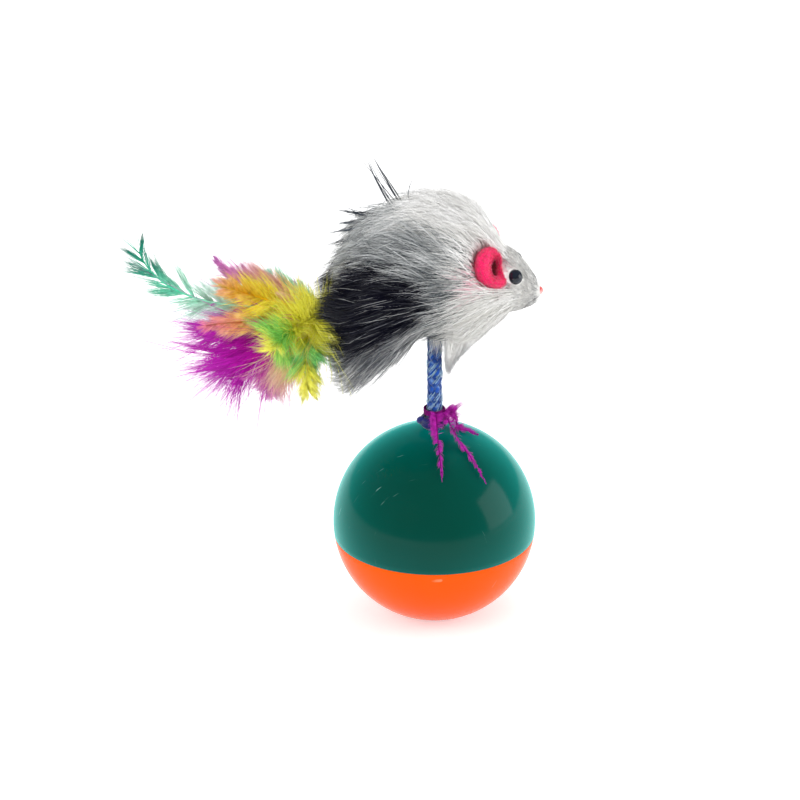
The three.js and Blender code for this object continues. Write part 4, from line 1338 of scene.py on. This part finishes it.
def ear_surface(side, level, turn):
    """A place on the folded cup of felt. Level 0 is its root, 1 to 2 its rim and 3 the cup's floor;
    turn 0 is its front and a quarter turn its top."""
    root, mouth, tall, wide = ear_frame(side)
    half_wide, half_high, rise, shift = (np.interp(level, EAR_SECTION[:, 0], EAR_SECTION[:, i])
                                         for i in range(1, 5))
    rim = smooth(0.5, 1.1, level)
    front = np.maximum(0, np.cos(turn))
    sunk = 1.1 if side < 0 else 2.1  # the left ear lies flatter, out of sight behind the crown
    rise = rise - sunk * front ** 1.5 * rim * (1 - 0.6 * smooth(2, 3, level))
    swung = wrapped(turn)
    notch = np.exp(-((swung - 0.12) / 0.42) ** 2)
    lobe = np.exp(-((swung + 0.85) / 0.5) ** 2)
    outer = rim * (1 - smooth(1.5, 2, level))
    curl = 0.12 * np.sin(3 * turn + 0.6) * rim
    broad = half_wide * np.cos(turn) * (1 - 0.14 * notch * outer) + shift + 1.3 * lobe * outer
    high = half_high * np.sin(turn) * (1 + 0.05 * np.cos(2 * turn)) - 0.3 * lobe * outer
    rise = rise + curl + 0.5 * lobe * outer
    return (root + np.asarray(rise)[..., None] * mouth + np.asarray(high)[..., None] * tall
            - side * np.asarray(broad)[..., None] * wide)


def clear_of_ears(paths):
    """Which hairs stay out of the ears and don't hang over them."""
    clear = np.ones(len(paths), bool)
    between = (paths[:, 1:] + paths[:, :-1]) / 2
    places = np.concatenate([paths, between], axis=1)
    for side in (-1, 1):
        root, mouth, tall, wide = ear_frame(side)
        away = places - root
        up = away @ mouth
        high = away @ tall
        broad = -side * (away @ wide)
        inside = ((broad - 0.2) / 3.9) ** 2 + (high / 5.3) ** 2 < 1
        clear &= ~np.any(inside & (up > 0.9) & (up < 9), axis=1)
    return clear


def felt_ear(side, felt, settings, name, node):
    """A folded cup of thick felt with a rolled rim and a nap of short fibres; the felt and the nap inside
    the cup are painted darker as shade.
    """
    around = 60
    levels = np.concatenate([np.linspace(0, 1, 9), np.linspace(1.1, 2, 10), np.linspace(2.15, 3, 8)])
    turns = TURN * np.arange(around) / around
    deep = np.array(settings.felt)
    # Painted shade: the felt turns darker down inside the cup.
    painted_cup_shade = deep * (0.5, 0.4, 0.3)
    rings = [ear_surface(side, np.full(around, level), turns) for level in levels]
    shade = smooth(1.9, 2.6, levels)[:, None]
    tints = np.repeat(deep * (1 - shade) + painted_cup_shade * shade, around, axis=0)
    faces = ring_faces(len(rings), around)
    if side > 0:
        faces = [tuple(reversed(f)) for f in faces]
    ear = piece_from(name, np.concatenate(rings), faces, felt, tints=tints, body="mouse", slot="pink_felt")
    rounded = ear.modifiers.new("rounded felt", "SUBSURF")
    rounded.levels = 1
    rounded.render_levels = 1
    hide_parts(node)

    rng = np.random.default_rng(60 + side)
    count = 6500
    shades = 6
    level = rng.uniform(0.3, 2.9, count)
    turn = rng.uniform(0, TURN, count)
    foot = ear_surface(side, level, turn)
    ahead = ear_surface(side, level + 0.02, turn) - foot
    beside = ear_surface(side, level, turn + 0.02) - foot
    away = unit(np.cross(beside, ahead)) * (-1 if side > 0 else 1)
    lie = unit(rng.normal(size=(count, 3)))
    stand = rng.uniform(0.1, 0.42, count)[:, None]
    tip = foot + away * stand + lie * 0.3
    paths = np.stack([foot - away * 0.05, foot + away * stand * 0.7 + lie * 0.08, tip], axis=1)
    widths = np.tile((0.085, 0.06), (count, 1))
    shade = rng.integers(0, shades, count)
    light = (0.8 + 0.4 * shade / (shades - 1))[:, None]
    # The nap inside the cup takes the same painted shade.
    inside = level > 2.2
    base = np.where(inside[:, None], painted_cup_shade, deep)
    strands(name + "_nap", paths, widths, np.clip(base * light, 0, 1), np.clip(base * light * 1.15, 0, 1),
            shade + shades * inside.astype(int), felt, "mouse", "pink_felt", 2 * shades)


def face_pile(name, material, seed, count, x_range):
    """Short fur that lies back over the face, parted round the eyes and the nose."""
    rng = np.random.default_rng(seed)
    x = rng.uniform(*x_range, count)
    turn = rng.uniform(-math.pi, math.pi, count)
    length = rng.uniform(1.4, 2.6, count) * np.where(x > 22, 0.7, 1.0)
    brow = smooth(14, 17, x) * smooth(25.2, 22.8, x) * smooth(62, 34, from_top(turn))
    stand = rng.uniform(0.35, 0.8, count) * (np.where(x > 20, 0.85, 1.0) + 0.8 * brow)
    paths = np.empty((count, 3, 3))
    for i, u in enumerate((0.0, 0.5, 1.0)):
        back = x - length * u
        surface = coat_point(back, turn + rng.normal(0, 0.05, count) * u, 0.0)
        low = MOUSE_HEIGHT + through(SPINE_HEIGHT, back)
        middle = np.stack([back, np.zeros(count), low], axis=1)
        normal = unit(surface - middle) + np.array((0.25, 0, 0))
        paths[:, i] = surface + unit(normal) * (stand * (1.4 * u - 0.55 * u * u) - 0.12)[:, None]
    keep = np.ones(count, bool)
    for side in (-1, 1):
        eye = head_place(EYE_X, EYE_OUT, EYE_LIFT, side)
        keep &= np.linalg.norm(paths[:, 0] - eye, axis=1) > EYE_RADIUS + 0.15
        keep &= np.linalg.norm(paths[:, -1] - eye, axis=1) > EYE_RADIUS + 0.05
    keep &= np.linalg.norm(paths[:, 0] - NOSE_PLACE, axis=1) > NOSE_RADIUS + 0.25
    keep &= clear_of_ears(paths)
    paths = paths[keep]
    x = x[keep]
    total = len(paths)
    kind = np.full(total, WHITE)
    for side in (-1, 1):
        root = ear_frame(side)[0] + np.array((0, 0, -1.5))
        near = np.linalg.norm(paths[:, 0] - root, axis=1)
        kind = np.where(rng.random(total) < 0.85 * smooth(8.5, 4.5, near), BLUSH, kind)
    shade = rng.integers(0, COAT_SHADES - 2, total)
    # A few grey hairs are mixed into the pile; towards the tip of the snout more of them are grey, which is
    # painted shade.
    grey = (rng.random(total) < 0.07 + 0.25 * smooth(23.0, 25.4, x)) & (x > 15)
    kind = np.where(grey & (kind == WHITE), FRINGE, kind)
    roots, tips, groups = hair_tints(kind, shade)
    widths = np.stack([rng.uniform(0.11, 0.15, total), rng.uniform(0.07, 0.1, total)], axis=1)
    return strands(name, paths, widths, roots, tips, groups, material, "mouse", "white_fur", COAT_GROUPS,
                   twist=unit(rng.normal(size=(total, 3))))


# Long dark hairs that stand out of the coat: foot, tip, bow to the front and number of hairs.
GUARD_HAIRS = (
    ((-8.7, 4.0, 109.6), (-15.9, 5.0, 121.6), 0.0, 6), ((-10.8, 4.0, 108.4), (-17.6, 5.0, 121.4), -0.3, 6),
    ((-9.6, 5.0, 108.4), (-18.6, 6.0, 120.2), 0.0, 1), ((-6.4, 3.0, 109.4), (-4.8, 3.0, 116.4), -0.7, 1),
    ((-14.2, 5.0, 104.9), (-24.4, 5.0, 106.0), 0.0, 9), ((-16.0, 5.0, 103.2), (-25.2, 5.0, 102.6), 0.0, 9),
    ((-16.8, 4.0, 101.8), (-26.6, 4.0, 100.4), 0.0, 7), ((-18.0, 3.0, 99.6), (-27.4, 3.0, 97.6), 0.0, 6),
    ((-15.0, 6.0, 103.0), (-23.0, 8.0, 106.4), 0.0, 3), ((-13.2, 8.0, 102.6), (-24.6, 12.0, 104.0), 0.5, 3),
    ((-12.0, -9.0, 76.5), (-18.6, -9.0, 66.6), 0.8, 3), ((-9.0, -8.0, 75.0), (-16.2, -8.0, 67.6), 0.9, 3),
    ((-16.0, -8.0, 74.5), (-22.8, -9.0, 65.6), 0.7, 3), ((-6.0, -6.0, 75.2), (-12.4, -6.0, 69.4), 0.6, 3),
    ((-18.0, -9.0, 72.5), (-23.6, -9.0, 67.0), 0.7, 3))

# Short dark hairs beside the mouth.
MOUTH_HAIRS = (
    ((25.2, -0.9, 87.9), (24.0, -2.4, 86.0)), ((24.9, -1.4, 88.4), (23.4, -3.2, 87.6)),
    ((25.3, -0.5, 86.9), (24.1, -1.6, 84.6)), ((24.2, -2.3, 87.2), (22.8, -4.2, 85.2)),
    ((23.6, -3.2, 85.6), (21.6, -4.6, 83.6)), ((22.8, -4.0, 85.0), (20.4, -4.9, 83.2)),
    ((24.6, -2.0, 89.0), (23.0, -3.9, 90.2)), ((23.0, -4.3, 87.6), (20.8, -5.9, 86.2)))


def single_hairs(name, hairs, width, tint, material, seed):
    """Single hairs and thin clumps from foot to tip, each bowed a little."""
    rng = np.random.default_rng(seed)
    crowd = [h[3] for h in hairs]
    feet = np.repeat(np.array([h[0] for h in hairs], float), crowd, axis=0)
    points = np.repeat(np.array([h[1] for h in hairs], float), crowd, axis=0)
    bows = np.repeat([h[2] for h in hairs], crowd)
    apart = np.repeat(np.array(crowd) > 1, crowd)[:, None]
    feet = feet + rng.normal(0, 0.55, feet.shape) * apart
    points = points + rng.normal(0, 0.3, points.shape) * (1, 1, 0.7) * apart
    points = feet + (points - feet) * (1 - 0.25 * rng.random((len(feet), 1)) * apart)
    paths = np.stack([feet * (1 - u) + points * u for u in HAIR_STEPS], axis=1)
    for i, u in enumerate(HAIR_STEPS):
        paths[:, i, 0] += bows * 4 * u * (1 - u)
        paths[:, i, 1] += rng.normal(0, 0.25, len(feet)) * u
    widths = np.tile(np.array((1.0, 0.95, 0.75, 0.45)) * width, (len(feet), 1))
    shades = 3
    shade = rng.integers(0, shades, len(feet))
    base = linear(*tint) * (1 + 0.8 * shade)[:, None]
    return strands(name, paths, widths, base, base * 1.6, shade, material, "mouse", "grey_fur", shades)


# Stretches of the coat: name, record slot, seed, range along the body, range of turns in degrees,
# length of the hairs, their depth in the coat and what else differs from the usual.
COAT = (
    ("fur_back", "grey_fur", 21, (-20, 6), (-62, 62), (13, 19), (0.62, 1.0), {}),
    ("fur_crown", "white_fur", 22, (4, 17), (-75, 75), (8, 15), (0.56, 0.94), {"flow": 0.35, "lie": 1.7}),
    ("fur_right_flank", "grey_fur", 23, (-18, 8), (52, 130), (14, 20), (0.55, 1.0),
     {"locks": 400, "dense": (82, 114)}),
    ("fur_left_flank", "grey_fur", 24, (-18, 8), (-130, -52), (14, 20), (0.55, 1.0),
     {"locks": 400, "dense": (-114, -82)}),
    ("fur_belly", "grey_fur", 25, (-18, 0), (114, 246), (11, 19), (0.5, 1.0), {"fall": 1.4, "stray": 0.24}),
    ("fur_right_cheek", "white_fur", 26, (6, 18), (60, 140), (8, 15), (0.5, 1.0),
     {"droop": 0.18, "flow": 0.3, "lie": 1.5}),
    ("fur_left_cheek", "white_fur", 27, (6, 18), (-140, -60), (8, 15), (0.5, 1.0),
     {"droop": 0.18, "flow": 0.3, "lie": 1.5}),
    ("fur_wisps", "grey_fur", 29, (-17, -4), (-50, 60), (13, 19), (0.9, 1.04),
     {"count": 330, "locks": 40, "spread": 0.7, "stray": 0.1, "rear_end": 32, "lift_off": 0.3,
      "flow": 0.6, "width": 1.1}),
    ("fur_fringe", "grey_fur", 30, (-16, -3), (118, 225), (13, 19), (0.9, 1.05),
     {"count": 520, "locks": 70, "spread": 0.8, "stray": 0.3, "rear_end": 29, "lift_off": 0.2,
      "fall": 3.2}),
)


class BuildMouse(bpy.types.Operator):
    """Stuff the body, grow the coat and set the ears, the eyes and the nose"""
    bl_idname = "toy.build_mouse"
    bl_label = "Mouse"

    def execute(self, context):
        settings = context.scene.toy_mouse
        hair = fibre_material("fur", scale=700.0, depth=0.16, nap=0.62, relief=None, sheen=0.0)
        skin = fibre_material("fur backing", scale=1600.0, depth=0.3, nap=0.85, relief=0.00015, sheen=0.3)
        felt = fibre_material("wool felt", scale=1900.0, depth=0.5, nap=0.85, relief=0.00018, sheen=0.5)

        def pale(x, _, rng):
            # Painted shade: the body greys towards the tip of the snout.
            tone = linear(248, 247, 244) * (1 - 0.3 * smooth(23, 25.8, x))[:, None]
            return tone * rng.uniform(0.96, 1.03, (len(x), 1))

        def under_coat(x, turn, rng):
            uneven = rng.normal(0, 0.35, (3, len(x)))
            tones = np.array([linear(*colour) for colour in BACKING_COLOURS])
            return tones[coat_kind(x, turn, uneven)] * rng.uniform(0.85, 1.1, (len(x), 1))

        rump, snout, nose_end = -22.3, 22, 26.2
        rounding = np.sin(np.linspace(0.1, math.pi / 2, 14))
        body_x = np.concatenate([np.linspace(rump, snout, 60), snout + (nose_end - snout) * rounding])
        body = stuffed_form("stuffed_body", body_x, skin, pale, depth=0.0, swell=0.004, seed=3)
        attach(body, "mouse")
        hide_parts("mouse_core", "face_cover")
        rounding = 1 - np.cos(np.linspace(0, math.pi / 2, 14))
        coat_x = np.concatenate([-22.2 + 3 * rounding, np.linspace(-19, 17, 50)])
        lining = stuffed_form("coat_backing", coat_x, skin, under_coat, depth=0.42, swell=0.02, seed=4)
        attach(lining, "mouse")
        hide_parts("fur_coat")

        for name, slot, seed, x_range, turn_range, length, depth, shape in COAT:
            grow_coat(name, hair, slot, settings, seed, x_range, turn_range, length, depth, **shape)
        chest_fringe("fur_chest", hair, settings, seed=28, count=9500)
        face_pile("fur_face", hair, seed=31, count=19500, x_range=(8, 26.1))

        single_hairs("guard_hairs", GUARD_HAIRS, 0.26, (52, 56, 62), hair, seed=51)
        both = [(foot, tip, 0.2, 1) for foot, tip in MOUTH_HAIRS]
        both += [((a, -b, c), (d, -e, f), 0.2, 1) for (a, b, c), (d, e, f) in MOUTH_HAIRS]
        single_hairs("mouth_hairs", both, 0.12, (46, 44, 46), hair, seed=52)

        eyes = bead_material("black glass", settings.bead, (0.008, 0.014, 0.026), gloss=0.04)
        for side, part in ((-1, "right"), (1, "left")):
            heap = Heap()
            middle = head_place(EYE_X, EYE_OUT, EYE_LIFT, side)
            round_bead(heap, middle, EYE_RADIUS)
            post_end = head_place(EYE_X, EYE_OUT - EYE_POST, EYE_LIFT, side)
            points, faces = tube(np.linspace(middle, post_end, 4), 0.45, sides=10)
            heap.add(points, faces)
            eye = heap.piece(f"bead_eye_{part}", eyes, body="mouse", slot="black_bead")
            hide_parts(f"eye_{part}")
            felt_ear(side, felt, settings, f"felt_ear_{part}", f"ear_{part}")

        nose = Heap()
        round_bead(nose, NOSE_PLACE, NOSE_RADIUS, flat=0.92)
        red = bead_material("red bead", (0.62, 0.05, 0.05), (0.85, 0.42, 0.4), gloss=0.16)
        piece = nose.piece("bead_nose", red, body="mouse", slot="nose_bead")
        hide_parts("nose_bead")
        return {"FINISHED"}


# Tail

# The quills sit in a ring in the ferrule, straight for the length of their seat, and their barbs
# start a little way from the root.
FEATHERS = 11
SEAT_RING = 1.82
SEAT_LENGTH = 3.5
BARE_ROOT = 2.6
FERRULE_TURNS = 11


def quill_line(from_angle, to_angle, length, turn, order, flat, late=1.0):
    """The quill of one tail feather, after a straight seat, and the direction across its vane.

    turn is the way round the tail in which it bends, and flat turns its vane. It bends evenly where
    late is 1, and more towards its tip the larger late is.
    """
    places = 60
    t = math.radians(turn)
    out = np.array((0, -math.sin(t), math.cos(t)))
    along = np.array((-1.0, 0, 0))
    ring = TURN * order / FEATHERS
    root = np.array(TAIL_PIVOT) + (-0.8, -SEAT_RING * math.sin(ring), SEAT_RING * math.cos(ring))
    run = np.linspace(0, length, places)
    past = np.maximum(0, run - SEAT_LENGTH) / (length - SEAT_LENGTH)
    a = np.radians(from_angle + (to_angle - from_angle) * past ** late)
    ahead = along * np.cos(a)[:, None] + out * np.sin(a)[:, None]
    ahead[run < SEAT_LENGTH] = along
    step = length / (places - 1)
    moves = (ahead[1:] + ahead[:-1]) / 2 * step
    line = root + np.concatenate([np.zeros((1, 3)), np.cumsum(moves, axis=0)])
    ahead = unit(np.gradient(line, axis=0))
    across = unit(np.cross(np.tile(out, (places, 1)), ahead))
    normal = np.cross(ahead, across)
    f = math.radians(flat)
    return line, across * math.cos(f) + normal * math.sin(f)


# Dyes: colours at places from a feather's root to its tip, at the quill and at the barbs' ends.
MINT = [(0, (150, 220, 180)), (0.45, (150, 225, 190)), (0.72, (60, 200, 150)), (1, (20, 160, 115))]
MINT_TIP = [(0, (205, 240, 222)), (0.5, (205, 242, 225)), (0.68, (70, 170, 130)), (0.8, (0, 56, 42)),
            (1, (0, 40, 30))]
GOLD = [(0, (250, 220, 60)), (0.4, (252, 205, 10)), (0.8, (250, 160, 0)), (1, (252, 190, 20))]
GOLD_TIP = [(0, (250, 225, 90)), (0.5, (252, 210, 20)), (0.8, (240, 150, 60)), (1, (215, 120, 160))]
CORAL = [(0, (250, 215, 30)), (0.35, (252, 195, 0)), (0.65, (252, 150, 50)), (1, (250, 120, 120))]
CORAL_TIP = [(0, (250, 220, 40)), (0.4, (252, 190, 20)), (0.7, (250, 130, 100)), (1, (190, 20, 140))]
LIME = [(0, (250, 235, 10)), (0.5, (244, 230, 10)), (0.6, (90, 190, 30)), (0.78, (90, 190, 40)),
        (0.88, (245, 232, 20)), (1, (250, 235, 40))]
LIME_TIP = [(0, (250, 240, 60)), (0.5, (244, 236, 40)), (0.6, (70, 185, 50)), (0.74, (110, 200, 60)),
            (0.86, (245, 235, 60)), (1, (250, 238, 80))]
YELLOW = [(0, (250, 235, 20)), (0.34, (240, 232, 10)), (0.46, (90, 195, 60)), (0.6, (110, 200, 60)),
          (0.72, (245, 232, 20)), (1, (248, 234, 40))]
YELLOW_TIP = [(0, (250, 240, 70)), (0.34, (240, 238, 40)), (0.48, (50, 185, 80)), (0.6, (90, 200, 80)),
              (0.72, (245, 236, 60)), (1, (248, 236, 90))]
PEACH = [(0, (235, 220, 30)), (0.4, (248, 190, 60)), (0.7, (245, 160, 110)), (1, (225, 130, 170))]
PEACH_TIP = [(0, (245, 200, 90)), (0.5, (246, 180, 140)), (0.8, (220, 110, 170)), (1, (190, 80, 190))]
MAGENTA = [(0, (120, 0, 44)), (0.28, (140, 0, 44)), (0.45, (150, 0, 122)), (1, (162, 0, 150))]
MAGENTA_TIP = [(0, (180, 10, 80)), (0.35, (160, 0, 132)), (0.7, (172, 4, 160)), (1, (165, 30, 152))]
LILAC = [(0, (250, 190, 60)), (0.4, (245, 160, 60)), (0.65, (225, 110, 150)), (1, (190, 60, 160))]
LILAC_TIP = [(0, (245, 180, 90)), (0.5, (215, 110, 160)), (0.8, (190, 80, 175)), (1, (150, 50, 140))]
GREEN = [(0, (120, 205, 120)), (0.5, (50, 190, 120)), (1, (60, 195, 135))]
GREEN_TIP = [(0, (170, 225, 140)), (0.5, (80, 200, 140)), (1, (150, 225, 190))]

# What the tail's feathers have in common, unless a feather says otherwise. count is the number of
# barbs, quill the thickness at its ends and late where the quill bends.
USUAL_FEATHER = {"openness": (62, 22), "fluff": 0.34, "clumps": 85, "draw": 0.7, "thin_out": 0.25}

# name, record slot, turn, first and last angle, length, order, flat turn, reach of the barbs,
# colours, shape
TAIL_FEATHERS = (
    ("green_long", "green_dye", 4, 0, 74, 52, 0, 90, 8.5, MINT, MINT_TIP,
     {"openness": (50, 25), "fluff": 0.16, "thin_out": 0.45, "bend": 0.12, "clumps": 64, "draw": 0.985,
      "taper": (0.25, 2.4), "count": 1050, "base": 0.42, "gather": 0.005, "wisps": (0.12, 1.3),
      "late": 2.6, "quill": (0.4, 0.15)}),
    ("yellow_high", "yellow_dye", 34, 22, 32, 29, 1, -10, 8.0, GOLD, GOLD_TIP, {}),
    ("orange_middle", "orange_dye", 98, 8, 14, 30, 2, 10, 7.5, CORAL, CORAL_TIP, {"openness": (48, 18)}),
    ("lime_near", "lime_dye", 122, 34, 50, 17, 3, -8, 10.5, LIME, LIME_TIP,
     {"fluff": 0.55, "openness": (104, 32), "base": 0.0, "opening": 1.4, "bend": 0.1}),
    ("yellow_near", "yellow_dye", 152, 74, 97, 20, 4, 68, 7.8, YELLOW, YELLOW_TIP,
     {"fluff": 0.45, "openness": (84, 14), "base": 0.0, "opening": 1.4, "bend": 0.1, "draw": 0.88,
      "taper": (0.45, 1.6)}),
    ("peach_low", "peach_dye", 182, 54, 67, 24, 5, 0, 10.5, PEACH, PEACH_TIP,
     {"draw": 0.92, "fluff": 0.5, "wisps": (0.14, 1.35), "openness": (58, 16), "lengths": (0.45, 1.1, 1.0)}),
    ("magenta_low", "magenta_dye", 192, 30, 38, 27, 6, 0, 13.0, MAGENTA, MAGENTA_TIP,
     {"draw": 0.94, "clumps": 110, "fluff": 0.5, "wisps": (0.12, 2.1), "openness": (58, 14),
      "taper": (0.15, 2.0), "lengths": (0.2, 1.08, 1.7), "thin_out": 0.1}),
    ("magenta_long", "magenta_dye", 196, 9, 16, 27, 7, 0, 12.0, MAGENTA, MAGENTA_TIP,
     {"draw": 0.94, "clumps": 110, "fluff": 0.42, "wisps": (0.12, 2.1), "openness": (54, 14),
      "taper": (0.15, 2.0), "lengths": (0.2, 1.08, 1.7), "thin_out": 0.1}),
    ("magenta_far", "magenta_dye", 248, 34, 38, 32, 8, 0, 10.0, MAGENTA, MAGENTA_TIP, {}),
    ("green_small", "green_dye", 302, 36, 44, 18, 9, 0, 6.5, GREEN, GREEN_TIP, {"base": 0.1}),
    ("lilac_high", "lilac_dye", 328, 16, 32, 28, 10, 30, 10.0, LILAC, LILAC_TIP,
     {"draw": 0.97, "clumps": 26, "fluff": 0.3, "wisps": (0.05, 1.7), "openness": (46, 16),
      "lengths": (0.4, 1.1, 1.0), "count": 1900}),
)


class BuildTail(bpy.types.Operator):
    """Bind the ferrule and fan out the dyed feathers"""
    bl_idname = "toy.build_tail"
    bl_label = "Tail"

    def execute(self, context):
        settings = context.scene.toy_tail
        vane = fibre_material("dyed vane", scale=900.0, depth=0.3, nap=0.6, relief=None, sheen=0.0)
        thread = fibre_material("waxed thread", scale=2600.0, depth=0.5, nap=0.5, relief=0.00005, sheen=0.2)
        low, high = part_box("tail_ferrule")
        start, end = low.x / MM, high.x / MM
        length = end - start
        _, middle_y, middle_z = TAIL_PIVOT
        heap = Heap()
        u = np.linspace(0, 1, 620)
        turn = TURN * FERRULE_TURNS * u
        out = 2.62 + 0.05 * np.sin(turn * 2.3) - 0.25 * (2 * u - 1) ** 4
        path = np.stack([start + 0.25 + (length - 0.5) * u, middle_y + out * np.cos(turn),
                         middle_z + out * np.sin(turn)], axis=1)
        points, faces = tube(path, 0.27, sides=8)
        heap.add(points, faces, linear(214, 206, 188))
        half = length / 2 - 0.2
        points, faces = lathe([(0, -half), (2.3, -half), (2.45, 0), (2.3, half), (0, half)], 40)
        lying = points[:, (2, 0, 1)] + ((start + end) / 2, middle_y, middle_z)
        heap.add(lying, faces, linear(196, 186, 166))
        piece = heap.piece("thread_binding", thread, body="tail", slot="thread")
        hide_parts("tail_ferrule")

        quills = Heap()
        for name, slot, turn, first, last, long, order, flat, reach, dye, tip_dye, shape in TAIL_FEATHERS:
            shape = {"base": BARE_ROOT / long, **USUAL_FEATHER, **shape}
            count = shape.pop("count", settings.barbs)
            thick, thin = shape.pop("quill", (0.3, 0.07))
            line, across = quill_line(first, last, long, turn, order, flat, shape.pop("late", 1.0))
            piece = feather_piece(
                f"dyed_feather_{name}", line, across, dye, tip_dye, vane, "tail", slot, count,
                width=settings.barb_width / MM, seed=400 + order, reach=reach, **shape)
            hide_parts(f"feather_{name}")
            sides = 7
            points, faces = tube(line, np.linspace(thick, thin, len(line)), sides)
            tint = ramp(dye, np.linspace(0, 1, len(line))) ** QUILL_LIFT
            quills.add(points, faces, np.repeat(tint, sides, axis=0))
        quills.piece("tail_quills", vane, body="tail", slot="yellow_dye")
        return {"FINISHED"}


# Add-on

BUILDERS = (BuildStage, BuildBall, BuildStem, BuildMouse, BuildTail)


class ToyPanel(bpy.types.Panel):
    """The toy's sizes and colours, and the steps that build it"""
    bl_idname = "VIEW3D_PT_toy"
    bl_label = "Tumbler mouse toy"
    bl_space_type = "VIEW_3D"
    bl_region_type = "UI"
    bl_category = "Toy"

    def draw(self, context):
        for name, group in SETTINGS:
            box = self.layout.box()
            settings = getattr(context.scene, name)
            for key in group.__annotations__:
                box.prop(settings, key)
        for builder in BUILDERS:
            self.layout.operator(builder.bl_idname)


def register():
    for name, group in SETTINGS:
        bpy.utils.register_class(group)
        setattr(bpy.types.Scene, name, bpy.props.PointerProperty(type=group))
    for builder in BUILDERS:
        bpy.utils.register_class(builder)
    bpy.utils.register_class(ToyPanel)


def unregister():
    bpy.utils.unregister_class(ToyPanel)
    for builder in reversed(BUILDERS):
        bpy.utils.unregister_class(builder)
    for name, group in reversed(SETTINGS):
        delattr(bpy.types.Scene, name)
        bpy.utils.unregister_class(group)


def main():
    register()
    bpy.ops.toy.build_stage()
    bpy.ops.toy.build_ball()
    bpy.ops.toy.build_stem()
    bpy.ops.toy.build_mouse()
    bpy.ops.toy.build_tail()


if __name__ == "__main__":
    main()
